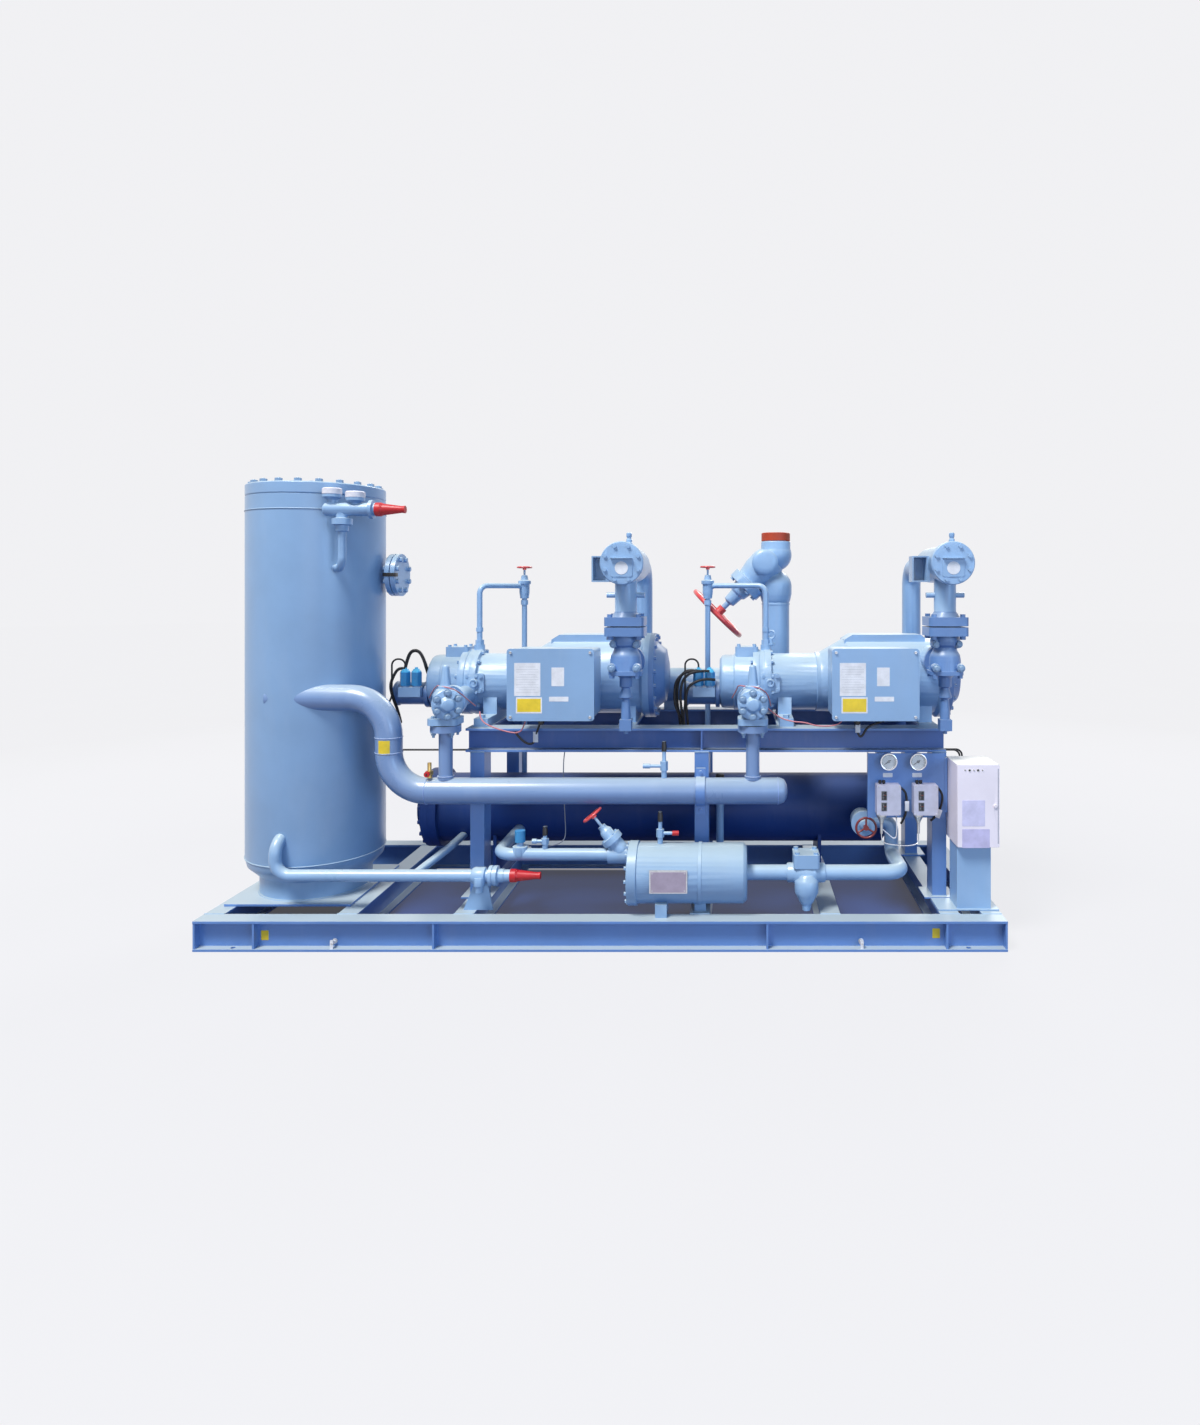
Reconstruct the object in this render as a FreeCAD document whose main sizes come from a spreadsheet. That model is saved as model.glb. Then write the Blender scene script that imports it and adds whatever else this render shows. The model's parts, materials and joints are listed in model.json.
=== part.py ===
"""Twin screw compressor unit on a steel base, in millimetres.

X runs along the unit, Y to its back and Z up. The origin is the middle of the base's underside.
"""
import FreeCAD, Part
import math
import os
import types

import Sketcher
from FreeCAD import Rotation, Vector

DOC = FreeCAD.newDocument("screw_compressor_unit")
SHEET = DOC.addObject("Spreadsheet::Sheet", "sizes")

SIZES = {
    # Clearances
    "seat": 0.3,                      # gap left between curved faces that meet
    "running_fit": 0.05,              # radial play of a shaft in its bearing
    "slide_play": 0.4,                # radial play of the capacity slide and its piston
    # Base frame
    "base_left_margin": 30,           # from the separator's plate to the base's left end
    "base_right_margin": 6,           # from the cabinet to the base's right end
    "base_width": 1100,
    "base_height": 120,
    "base_flange_width": 80,
    "base_flange_thickness": 10,
    "base_web": 8,
    "stiffener": 8,
    "stiffener_inset": 233,
    "stiffener_middle": 660,
    "anchor_hole": 18,
    "anchor_inset": 150,
    "anchor_edge": 18,
    "cross_member_1": -1027,
    "cross_member_2": -560,
    "cross_member_3": 388,
    "cross_member_4": 912,
    "cross_member_5": 1392,
    # Deck frame
    "deck_front": -287,
    "deck_back": 400,
    "deck_left": -610,
    "deck_right": 1422,
    "deck_bottom": 735,
    "deck_section": 100,
    "deck_web": 7,
    "deck_flange": 10,
    "post_width": 60,
    "post_wall": 6,
    "post_foot": 130,
    "post_foot_thickness": 8,
    "rail_width": 80,
    # Oil separator
    "separator_x": -1310,
    "separator_y": -130,
    "separator_radius": 280,
    "separator_wall": 10,
    "separator_skirt_radius": 225,
    "separator_skirt_wall": 12,
    "separator_plate_side": 520,
    "separator_plate_thickness": 10,
    "separator_skirt_top": 200,
    "separator_head_seam": 285,
    "separator_top": 1815,
    "separator_collar_height": 60,
    "separator_collar_width": 48,
    "cover_gasket": 3,
    "cover_thickness": 50,
    "cover_bolt_count": 20,
    "cover_bolt_size": 15,
    "cover_bolt_height": 30,
    "cover_bolt_edge": 26,
    "coalescer_radius": 150,
    "coalescer_wall": 25,
    "coalescer_length": 620,
    # Separator outlet
    "outlet_y": -80,
    "outlet_z": 1487,
    "outlet_pipe_radius": 38,
    "outlet_flange_radius": 94,
    "outlet_flange_thickness": 20,
    "outlet_flange_x": -1000,
    "outlet_gasket": 4,
    "outlet_bolt_circle": 73,
    "outlet_bolt_count": 8,
    "outlet_bolt_size": 11,
    # Relief valves
    "relief_x": -1055,
    "relief_y": -408,
    "relief_z": 1749,
    "relief_body_length": 190,
    "relief_bonnet_radius": 37,
    "relief_first": 33,
    "relief_second": 128,
    "relief_feed": 74,
    "relief_body_radius": 27,
    "relief_stub_radius": 20,
    "relief_hook_radius": 16,
    "relief_hook_z": 1511,
    "relief_cap_x": -937,
    "relief_cap_length": 120,
    "relief_outlet_radius": 26,
    # Discharge header
    "header_radius": 54,
    "header_bend": 160,
    "header_y": -380,
    "header_drop_x": -896,
    "header_inlet_y": -345,
    "header_inlet_z": 975,
    "header_z": 593,
    "header_end": 745,
    "drop_radius": 28,
    "drop_flange_radius": 62,
    "drop_flange_thickness": 27,
    "drop_flange_bottom": 838,
    "drop_gasket": 4,
    # Compressors
    "compressor_spacing": 1310,
    "motor_axis_z": 1034,
    "housing_y": 20,
    "housing_z": 1002,
    "housing_start": -850,
    "housing_radius": 128,
    "housing_flange_radius": 148,
    "housing_seam_1": -700,
    "housing_seam_2": -648,
    "housing_flange": 28,
    "housing_end": -400,
    "housing_bolt_count": 12,
    "housing_bolt_size": 10,
    "oil_pad_x": -625,
    "oil_pad_z": 1008,
    "oil_pad_side": 86,
    "top_cap_start": -780,
    "top_cap_length": 104,
    "top_cap_width": 110,
    "top_cap_top": 1162,
    "motor_cone_end": -280,
    "motor_radius": 172,
    "motor_bore": 150,
    "motor_end": 150,
    "motor_cavity_start": -285,
    "motor_flange_radius": 190,
    "motor_flange": 26,
    "end_cover_flange": 24,
    "end_cover_crown": 60,
    "end_cover_wall": 14,
    "end_bolt_count": 18,
    "end_bolt_size": 9,
    "end_bolt_height": 10,
    "foot_length": 60,
    "foot_width": 230,
    "foot_1_x": -560,
    "foot_2_x": 60,
    # Rotors
    "rotor_start": -648,
    "rotor_length": 198,
    "rotor_bore_play": 1,
    "rotor_centres": 92,
    "male_pitch_radius": 41.8,
    "male_lobe_radius": 19,
    "male_root_radius": 41,
    "female_pitch_radius": 50.2,
    "female_flute_radius": 20.2,
    "female_outer_radius": 49.6,
    "male_shaft_radius": 20,
    "female_shaft_radius": 16,
    "rotor_offset_y": 64,
    "bearing_radius": 36,
    "female_bearing_radius": 30,
    "bearing_width": 26,
    "bearing_start": -760,
    "shaft_start": -775,
    "shaft_end": -45,
    "motor_core_radius": 78,
    "motor_core_start": -262,
    "motor_core_length": 200,
    "air_gap": 1.5,
    "stator_length": 190,
    "winding_length": 34,
    "winding_inset": 16,
    # Capacity slide
    "slide_y": -9,
    "slide_z": 951,
    "slide_radius": 40,
    "slide_length": 130,
    "slide_start": -585,
    "slide_travel": 90,
    "piston_radius": 42,
    "piston_width": 22,
    "piston_rod_radius": 11,
    "cylinder_length": 161,
    "cylinder_wall": 13,
    # Terminal boxes
    "box_left": -390,
    "box_length": 352,
    "box_bottom": 892,
    "box_height": 292,
    "box_front": -462,
    "box_depth": 210,
    "box_wall": 4,
    "box_cover": 10,
    "box_corner": 14,
    "box_neck": 150,
    # Solenoid valves on the compressors
    "coil_x": -919,
    "coil_pitch": 50,
    "coil_radius": 24,
    "coil_height": 66,
    "coil_block_top": 36,
    "coil_block_height": 42,
    "coil_block_depth": 46,
    # Discharge stop valves
    "discharge_x": -662,
    "discharge_second_step": -46,
    "discharge_body_radius": 52,
    "discharge_port_z": 956,
    "discharge_port_radius": 42,
    "discharge_flange_back": 54,
    "discharge_flange": 16,
    "discharge_bonnet_radius": 62,
    "discharge_bonnet_reach": 75,
    "discharge_turn_1": 24,
    "discharge_turn_2": 0,
    "discharge_bolt_size": 11,
    "discharge_cap_bottom": 1025,
    "discharge_cap_top": 1111,
    # Suction stop valves and strainers
    "suction_x": 81,
    "suction_y": -390,
    "suction_bottom": 830,
    "suction_port_z": 1120,
    "suction_port_radius": 52,
    "suction_flange_side": 160,
    "suction_flange_bottom": 1233,
    "suction_flange": 36,
    "suction_gasket": 5,
    "strainer_z": 1527,
    "strainer_radius": 76,
    "strainer_front": -530,
    "strainer_cover": 18,
    "strainer_cover_radius": 86,
    "strainer_back": -160,
    "suction_pipe_radius": 44.5,
    "suction_bend": 90,
    "purge_height": 56,
    # Suction header
    "suction_header_y": 290,
    "suction_header_z": 960,
    "suction_header_radius": 79.5,
    "suction_header_left": -60,
    "suction_header_right": 1480,
    "inlet_x": 728,
    "inlet_radius": 66.5,
    "inlet_top": 1695,
    "inlet_cap_height": 40,
    "inlet_wall": 5,
    "inlet_seat_z": 1590,
    "inlet_valve_drop": 230,
    "inlet_valve_crown": 152,
    "inlet_wheel_distance": 402,
    "inlet_wheel_radius": 150,
    "inlet_wheel_rim": 12,
    # Economizer lines
    "eco_radius": 12.5,
    "eco_bend": 38,
    "eco_port_x": -640,
    "eco_top": 1440,
    "eco_riser_y": 190,
    "eco_second_y": 120,
    "eco_riser_step": 164,
    "eco_second_step": -269,
    "eco_wheel_z": 1528,
    "eco_wheel_radius": 32,
    "eco_wheel_rim": 4.5,
    # Oil cooler vessel
    "vessel_left": -919,
    "vessel_right": 1260,
    "vessel_y": 100,
    "vessel_z": 410,
    "vessel_radius": 155,
    "vessel_wall": 8,
    "vessel_cover": 36,
    "vessel_cover_radius": 178,
    "vessel_crown": 60,
    "saddle_depth": 240,
    # Filter and its lines
    "filter_y": -412,
    "filter_z": 267,
    "filter_radius": 119,
    "filter_left": 117,
    "filter_right": 578,
    "filter_wall": 6,
    "filter_cover": 20,
    "filter_bolt_count": 14,
    "filter_bolt_size": 8,
    "filter_bolt_height": 8,
    "filter_crown": 16,
    "filter_foot": 44,
    "filter_leg": 46,
    "filter_first_leg": 95,
    "liquid_radius": 25,
    "liquid_bend": 70,
    "tight_bend": 45,
    "liquid_z": 341,
    "liquid_left": -442,
    "filter_valve_x": 78,
    "filter_valve_tilt": 39,
    "filter_valve_reach": 66,
    "filter_valve_radius": 36,
    "filter_wheel_distance": 208,
    "filter_wheel_radius": 41,
    "filter_wheel_rim": 5,
    "outlet_line_radius": 31,
    "outlet_line_z": 268,
    "outlet_line_right": 1214,
    "outlet_line_back": -150,
    "ball_valve_x": 818,
    "vessel_valve_x": 1086,
    "vessel_valve_z": 410,
    "vessel_wheel_y": -268,
    "vessel_wheel_radius": 42,
    "vessel_wheel_rim": 5,
    # Oil line
    "oil_radius": 24,
    "oil_bend": 62,
    "oil_x": -1330,
    "oil_top": 405,
    "oil_y": -446,
    "oil_z": 266,
    "oil_valve_x": -463,
    "oil_pipe_end": -378,
    "oil_branch": 539,
    "oil_cap_length": 122,
    # Instrument panel and controls
    "panel_left": 1086,
    "panel_right": 1408,
    "panel_bottom": 465,
    "panel_y": -312,
    "panel_thickness": 5,
    "panel_fold": 22,
    "gauge_1_x": 1170,
    "gauge_2_x": 1293,
    "gauge_z": 704,
    "gauge_radius": 35,
    "gauge_depth": 30,
    "needle_length": 24,
    "control_1_x": 1166,
    "control_2_x": 1320,
    "control_width": 100,
    "control_height": 125,
    "control_depth": 52,
    "control_bottom": 487,
    "column_left": 1430,
    "column_width": 138,
    "column_depth": 120,
    "column_from_front": 120,
    "column_wall": 5,
    "cabinet_left": 1424,
    "cabinet_width": 170,
    "cabinet_bottom": 384,
    "cabinet_height": 332,
    "cabinet_from_front": 88,
    "cabinet_depth": 190,
    "cabinet_wall": 3,
    "door_thickness": 14,
    "door_gap": 0.3,
    # Cables
    "cable_radius": 4,
    "cable_bend": 28,
}


def fill_sheet():
    """Write each size into its own named cell and read it back."""
    for row, (name, number) in enumerate(SIZES.items(), start=1):
        SHEET.set(f"A{row}", name)
        SHEET.set(f"B{row}", str(number))
        SHEET.setAlias(f"B{row}", name)
    DOC.recompute()
    return {name: Size(SHEET.get(name), "sizes." + name) for name in SIZES}


class Size:
    """A number that carries the sheet expression it comes from."""

    def __init__(self, number, text):
        self.number = float(number)
        self.text = text

    def _mix(self, other, sign, number):
        return Size(number, f"({self.text} {sign} {as_size(other).text})")

    def __add__(self, other):
        return self._mix(other, "+", self.number + as_size(other).number)

    def __sub__(self, other):
        return self._mix(other, "-", self.number - as_size(other).number)

    def __mul__(self, other):
        return self._mix(other, "*", self.number * as_size(other).number)

    def __truediv__(self, other):
        return self._mix(other, "/", self.number / as_size(other).number)

    def __radd__(self, other):
        return as_size(other) + self

    def __rsub__(self, other):
        return as_size(other) - self

    def __rmul__(self, other):
        return as_size(other) * self

    def __neg__(self):
        return Size(-self.number, f"(-{self.text})")

    def __float__(self):
        return self.number


def as_size(value):
    """Give a plain number the form of a size."""
    if isinstance(value, Size):
        return value
    text = f"{abs(value):.9f}".rstrip("0").rstrip(".")
    return Size(value, f"(-{text})" if value < 0 else text)


def root(value):
    """Square root of a size."""
    return Size(math.sqrt(value.number), f"sqrt({value.text})")


S = types.SimpleNamespace(**fill_sheet())
NODES = []
LEFT, RIGHT = Vector(-1, 0, 0), Vector(1, 0, 0)
FRONT, BACK = Vector(0, -1, 0), Vector(0, 1, 0)
DOWN, UP = Vector(0, 0, -1), Vector(0, 0, 1)
ALONG_X = Rotation(BACK, UP, RIGHT, "ZXY")
ALONG_Y = Rotation(LEFT, UP, BACK, "ZXY")


# Helpers

def tie(obj, prop, value):
    """Bind a property to its size in the sheet."""
    obj.setExpression(prop, as_size(value).text)


def place(obj, at, turn=Rotation()):
    """Turn an object and bind its position to the sheet."""
    obj.Placement = FreeCAD.Placement(Vector(*(float(v) for v in at)), turn)
    for axis, value in zip("xyz", at):
        tie(obj, "Placement.Base." + axis, value)
    return obj


def facing(axis):
    """Rotation that points local Z along an axis."""
    return Rotation(UP, axis)


def primitive(kind, at, turn, **values):
    """Add a primitive whose sizes and place are bound to the sheet."""
    obj = DOC.addObject(kind, kind.split("::")[1].lower())
    for prop, value in values.items():
        tie(obj, prop, value)
    return place(obj, at, turn)


def rod(at, axis, radius, length):
    return primitive("Part::Cylinder", at, facing(axis), Radius=radius, Height=length)


def block(at, span):
    return primitive("Part::Box", at, Rotation(), Length=span[0], Width=span[1], Height=span[2])


def hexagon(at, axis, radius, length):
    obj = DOC.addObject("Part::Prism", "hexagon")
    obj.Polygon = 6
    tie(obj, "Circumradius", radius)
    tie(obj, "Height", length)
    return place(obj, at, facing(axis))


def join(parts):
    """Fuse parts into one solid."""
    if len(parts) == 1:
        return parts[0]
    obj = DOC.addObject("Part::MultiFuse", "join")
    obj.Shapes = parts
    return obj


def weld(parts):
    """Fuse parts one after another, which suits long runs of pipe."""
    welded = parts[0]
    for part in parts[1:]:
        obj = DOC.addObject("Part::Fuse", "weld")
        obj.Base = welded
        obj.Tool = part
        welded = obj
    return welded


def cut(base, tools):
    """Take tools away from a base."""
    obj = DOC.addObject("Part::Cut", "cut")
    obj.Base = base
    obj.Tool = join(tools)
    return obj


def group(parts):
    """Keep parts together as separate solids of one node."""
    if len(parts) == 1:
        return parts[0]
    obj = DOC.addObject("Part::Compound", "group")
    obj.Links = parts
    return obj


def node(label, obj):
    """Name a finished sub-part."""
    obj.Label = label
    NODES.append(obj)
    return obj


def shift(at, axis, distance):
    """Point at a distance from another along an axis."""
    return tuple(value if abs(step) < 1e-9 else value + distance * step for value, step in zip(at, axis))


def heading(start, end):
    """Unit vector from one point to the next."""
    return (Vector(*map(float, end)) - Vector(*map(float, start))).normalize()


def span_of(start, end):
    """Distance between two points as a size."""
    steps = [as_size(b) - a for a, b in zip(start, end)]
    moving = [step for step in steps if abs(step.number) > 1e-9]
    if len(moving) == 1:
        return moving[0] * math.copysign(1, moving[0].number)
    return root(sum((step * step for step in moving), as_size(0)))


def elbow(corner, way, onward, radius, bend):
    """Quarter or part of a ring that turns a pipe at a corner."""
    angle = way.getAngle(onward)
    axis = way.cross(onward).normalize()
    inward = axis.cross(way)
    start = shift(corner, way, -bend * math.tan(angle / 2))
    centre = shift(start, inward, bend)
    turn = Rotation(-inward, way, axis, "ZXY")
    return primitive("Part::Torus", centre, turn, Radius1=bend, Radius2=radius, Angle3=math.degrees(angle))


def pipe(points, radius, bend):
    """Round bar along straight runs, with an elbow at each inner point: one bend radius, or a list of them."""
    bends = bend if isinstance(bend, list) else [bend] * (len(points) - 2)
    parts = []
    used = as_size(0)
    for index in range(1, len(points)):
        start, end = points[index - 1], points[index]
        way = heading(start, end)
        last = index + 1 == len(points)
        onward = way if last else heading(end, points[index + 1])
        leave = as_size(0) if last else bends[index - 1] * math.tan(way.getAngle(onward) / 2)
        parts.append(rod(shift(start, way, used), way, radius, span_of(start, end) - used - leave))
        if not last:
            parts.append(elbow(end, way, onward, radius, bends[index - 1]))
        used = leave
    return parts


def square_to(axis):
    """Two unit vectors square to an axis and to each other."""
    first = UP if abs(axis.z) < 0.9 else RIGHT
    side = axis.cross(first).normalize()
    return side, axis.cross(side).normalize()


def bolt_ring(at, axis, circle, count, radius, height, start=0.5):
    """Hexagon heads on a bolt circle. The first stands at a share of one step."""
    side, other = square_to(axis)
    heads = []
    for index in range(int(round(float(count)))):
        angle = 2 * math.pi * (index + start) / float(count)
        spot = shift(shift(at, side, circle * math.cos(angle)), other, circle * math.sin(angle))
        heads.append(hexagon(spot, axis, radius, height))
    return heads


def plane_of(body, role):
    return next(item for item in body.Origin.OriginFeatures if item.Role == role)


def draw(sketch, outline):
    """Draw a closed outline whose corners are bound to the sheet.

    A corner is (x, y), or (x, y, radius) where an arc of that radius runs to the next corner.
    A positive radius has its centre on the left of the way along.
    """
    count = len(outline)
    corners = [Vector(float(item[0]), float(item[1]), 0) for item in outline]
    ends = []
    for index, item in enumerate(outline):
        first, second = corners[index], corners[(index + 1) % count]
        if len(item) == 2:
            sketch.addGeometry(Part.LineSegment(first, second), False)
            ends.append((1, 2))
            continue
        sign = math.copysign(1, float(item[2]))
        reach = abs(float(item[2]))
        chord = second - first
        rise = math.sqrt(max(reach ** 2 - chord.Length ** 2 / 4, 0))
        normal = Vector(-chord.y, chord.x, 0).normalize()
        centre = (first + second) / 2 + normal * rise * sign
        begin, finish = (first, second) if sign > 0 else (second, first)
        angles = [math.atan2(spot.y - centre.y, spot.x - centre.x) for spot in (begin, finish)]
        if angles[1] <= angles[0]:
            angles[1] += 2 * math.pi
        sketch.addGeometry(Part.ArcOfCircle(Part.Circle(centre, UP, reach), *angles), False)
        ends.append((1, 2) if sign > 0 else (2, 1))
    for index in range(count):
        following = (index + 1) % count
        sketch.addConstraint(
            Sketcher.Constraint("Coincident", index, ends[index][1], following, ends[following][0]))
    for index, item in enumerate(outline):
        for kind, value in (("DistanceX", item[0]), ("DistanceY", item[1])):
            number = sketch.addConstraint(
                Sketcher.Constraint(kind, -1, 1, index, ends[index][0], float(value)))
            tie(sketch, f"Constraints[{number}]", value)
        if len(item) == 3:
            radius = item[2] if float(item[2]) > 0 else -item[2]
            number = sketch.addConstraint(Sketcher.Constraint("Radius", index, float(radius)))
            tie(sketch, f"Constraints[{number}]", radius)


def sketched_body(role, outline):
    body = DOC.addObject("PartDesign::Body", "body")
    sketch = body.newObject("Sketcher::SketchObject", "outline")
    sketch.AttachmentSupport = [(plane_of(body, role), "")]
    sketch.MapMode = "FlatFace"
    draw(sketch, outline)
    return body, sketch


def turned(at, axis, outline):
    """Body turned about an axis from an outline of (radius, distance along the axis)."""
    body, sketch = sketched_body("XZ_Plane", outline)
    feature = body.newObject("PartDesign::Revolution", "turning")
    feature.Profile = sketch
    feature.ReferenceAxis = (sketch, ["V_Axis"])
    feature.Angle = 360
    return place(body, at, facing(axis))


def padded(at, turn, outline, length):
    """Body made by padding an outline along its own Z."""
    body, sketch = sketched_body("XY_Plane", outline)
    feature = body.newObject("PartDesign::Pad", "pad")
    feature.Profile = sketch
    tie(feature, "Length", length)
    return place(body, at, turn)


def round_corners(width, height, radius):
    """Outline of a rectangle centred on the origin with rounded corners."""
    x, y = width / 2, height / 2
    return [(x - radius, -y, radius), (x, radius - y), (x, y - radius, radius), (x - radius, y),
            (radius - x, y, radius), (-x, y - radius), (-x, radius - y, radius), (radius - x, -y)]


def i_section(width, height, web, flange):
    """Outline of an I beam that stands on its lower flange."""
    half, core = width / 2, web / 2
    return [(-half, 0), (half, 0), (half, flange), (core, flange), (core, height - flange),
            (half, height - flange), (half, height), (-half, height), (-half, height - flange),
            (-core, height - flange), (-core, flange), (-half, flange)]


def stepped(*steps):
    """Solid outline for turning: (radius, distance) pairs closed onto the axis."""
    return [(0, steps[0][1]), *steps, (0, steps[-1][1])]


def handwheel(centre, axis, rim_radius, rim, hub_radius, hub_length, spokes):
    """Wheel with a round rim, a hub behind it and straight spokes."""
    parts = [primitive("Part::Torus", centre, facing(axis), Radius1=rim_radius, Radius2=rim)]
    parts.append(rod(shift(centre, axis, -hub_length), axis, hub_radius, hub_length + rim))
    side, other = square_to(axis)
    for index in range(spokes):
        angle = 2 * math.pi * (index + 0.25) / spokes
        way = side * math.cos(angle) + other * math.sin(angle)
        parts.append(rod(shift(centre, way, hub_radius * 0.5), way, rim * 0.8, rim_radius - hub_radius * 0.5))
    return join(parts)


# Base frame

BASE_TOP = S.base_height
BASE_BACK = S.base_width / 2
BASE_LEFT = S.separator_x - S.separator_plate_side / 2 - S.base_left_margin
BASE_RIGHT = S.cabinet_left + S.cabinet_width + S.base_right_margin
CROSS_MEMBERS = (S.cross_member_1, S.cross_member_2, S.cross_member_3, S.cross_member_4, S.cross_member_5)


def base_profile():
    return i_section(S.base_flange_width, S.base_height, S.base_web, S.base_flange_thickness)


def base_side_beam(label, side):
    """Long beam of the base with its stiffeners and anchor holes. side is -1 in front, 1 behind."""
    middle = side * (BASE_BACK - S.base_flange_width / 2)
    parts = [padded((BASE_LEFT, middle, 0), ALONG_X, base_profile(), BASE_RIGHT - BASE_LEFT)]
    deep = (S.base_flange_width - S.base_web) / 2 - 2
    low = middle + side * (S.base_web / 2) - (deep if side < 0 else 0)
    spots = (BASE_LEFT, BASE_LEFT + S.stiffener_inset, -S.stiffener_middle, S.stiffener_middle - S.stiffener,
             BASE_RIGHT - S.stiffener_inset - S.stiffener, BASE_RIGHT - S.stiffener)
    for x in spots:
        high = S.base_height - S.base_flange_thickness * 2
        parts.append(block((x, low, S.base_flange_thickness), (S.stiffener, deep, high)))
    holes = [rod((x, side * (BASE_BACK - S.anchor_edge), -1), UP, S.anchor_hole / 2,
                 S.base_flange_thickness + 2)
             for x in (BASE_LEFT + S.anchor_inset, BASE_RIGHT - S.anchor_inset)]
    node(label, cut(join(parts), holes))


def base_cross_members():
    """End beams, cross members and the plate under the separator."""
    reach = S.base_width - S.base_flange_width * 2
    start = S.base_flange_width - BASE_BACK
    ends = (BASE_LEFT + S.base_flange_width / 2, BASE_RIGHT - S.base_flange_width / 2)
    parts = [padded((x, start, 0), ALONG_Y, base_profile(), reach) for x in (*ends, *CROSS_MEMBERS)]
    side = S.separator_plate_side
    parts.append(block((S.separator_x - side / 2, S.separator_y - side / 2, BASE_TOP),
                       (side, side, S.separator_plate_thickness)))
    node("base_cross_members", group(parts))


# Deck frame

DECK_TOP = S.deck_bottom + S.deck_section
POST_X = (S.cross_member_2, S.cross_member_3, S.cross_member_5)


def deck_profile():
    return i_section(S.deck_section, S.deck_section, S.deck_web, S.deck_flange)


def post(x, y_low):
    """Square tube post with a foot plate."""
    foot_top = BASE_TOP + S.post_foot_thickness
    high = S.deck_bottom - foot_top
    wall = S.post_wall
    outer = block((x - S.post_width / 2, y_low, foot_top), (S.post_width, S.deck_section, high))
    inner = block((x - S.post_width / 2 + wall, y_low + wall, foot_top),
                  (S.post_width - wall * 2, S.deck_section - wall * 2, high))
    middle = y_low + S.deck_section / 2
    foot = block((x - S.post_foot / 2, middle - S.post_foot / 2, BASE_TOP),
                 (S.post_foot, S.post_foot, S.post_foot_thickness))
    return join([cut(outer, [inner]), foot])


def portal(label, y_low, rails):
    """Beam of the deck on its three posts. The rear one carries the cross rails."""
    middle = y_low + S.deck_section / 2
    long = S.deck_right - S.deck_left
    parts = [padded((S.deck_left, middle, S.deck_bottom), ALONG_X, deck_profile(), long)]
    parts += [post(x, y_low) for x in POST_X]
    deep = (S.deck_section - S.deck_web) / 2 - 2
    for x in POST_X[1:2]:
        high = S.deck_section - S.deck_flange * 2
        parts.append(block((x - S.stiffener / 2, middle - S.deck_web / 2 - deep, S.deck_bottom + S.deck_flange),
                           (S.stiffener, deep, high)))
    beam = join(parts)
    if not rails:
        return node(label, beam)
    start = S.deck_front + S.deck_section
    reach = y_low - start
    spots = [as_size(base) + foot for base in (0, S.compressor_spacing) for foot in (S.foot_1_x, S.foot_2_x)]
    section = i_section(S.rail_width, S.deck_section, S.deck_web, S.deck_flange)
    cross = [padded((x, start, S.deck_bottom), ALONG_Y, section, reach) for x in spots]
    return node(label, group([beam, *cross]))


# Oil separator

def separator_shell():
    """Shell, dished bottom, skirt and the thick collar that takes the cover bolts."""
    radius, wall = S.separator_radius, S.separator_wall
    floor = BASE_TOP + S.separator_plate_thickness
    skirt, inside = S.separator_skirt_radius, S.separator_skirt_radius - S.separator_skirt_wall
    crown = S.separator_skirt_top - 40
    collar_in = radius - S.separator_collar_width
    outline = [
        (0, crown), (inside, S.separator_skirt_top), (inside, floor), (skirt, floor),
        (skirt, S.separator_skirt_top + 4), (radius - 8, S.separator_head_seam - 34),
        (radius, S.separator_head_seam), (radius, S.separator_top), (collar_in, S.separator_top),
        (collar_in, S.separator_top - S.separator_collar_height),
        (radius - wall, S.separator_top - S.separator_collar_height - 20),
        (radius - wall, S.separator_head_seam), (skirt - 6, S.separator_skirt_top + wall + 6),
        (0, crown + wall),
    ]
    body = turned((S.separator_x, S.separator_y, 0), UP, outline)
    port = rod((S.separator_x, S.outlet_y, S.outlet_z), RIGHT,
               S.outlet_pipe_radius - S.separator_wall / 2, S.separator_radius + 20)
    node("separator_shell", cut(body, [port]))


def separator_cover():
    """Flat cover with its gasket, a lifting lug and the drilled bolt circle."""
    bottom = S.separator_top + S.cover_gasket
    top = S.cover_thickness
    edge = 4
    outline = stepped((S.separator_radius - edge, 0), (S.separator_radius, edge),
                      (S.separator_radius, top - edge), (S.separator_radius - edge, top))
    plate = turned((S.separator_x, S.separator_y, bottom), UP, outline)
    lug = padded((S.separator_x - 20, S.separator_y - 6, bottom + top), Rotation(RIGHT, UP, FRONT, "ZXY"),
                 [(-24, 0), (24, 0), (24, 14), (10, 32), (-10, 32), (-24, 14)], 12)
    hole = rod((S.separator_x - 20, S.separator_y - 30, bottom + top + 17), BACK, 7, 40)
    spacer = cut(rod((S.separator_x, S.separator_y, S.separator_top), UP, S.separator_radius - 2, S.cover_gasket),
                 [rod((S.separator_x, S.separator_y, S.separator_top), UP,
                      S.separator_radius - S.separator_collar_width, S.cover_gasket)])
    node("separator_cover", group([cut(join([plate, lug]), [hole]), spacer]))


def separator_cover_bolts():
    """Ring of cover bolts."""
    top = S.separator_top + S.cover_gasket + S.cover_thickness
    circle = S.separator_radius - S.cover_bolt_edge
    node("separator_cover_bolts", group(bolt_ring(
        (S.separator_x, S.separator_y, top), UP, circle, S.cover_bolt_count,
        S.cover_bolt_size, S.cover_bolt_height * 0.55)))


def coalescer_element():
    """Oil coalescing element that hangs under the cover."""
    top = S.separator_top + S.cover_gasket
    outline = [
        (S.coalescer_radius - S.coalescer_wall, -S.coalescer_length), (S.coalescer_radius, -S.coalescer_length),
        (S.coalescer_radius, -14), (S.coalescer_radius + 12, -14), (S.coalescer_radius + 12, 0),
        (S.coalescer_radius - S.coalescer_wall, 0),
    ]
    node("coalescer_element", turned((S.separator_x, S.separator_y, top), UP, outline))


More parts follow.
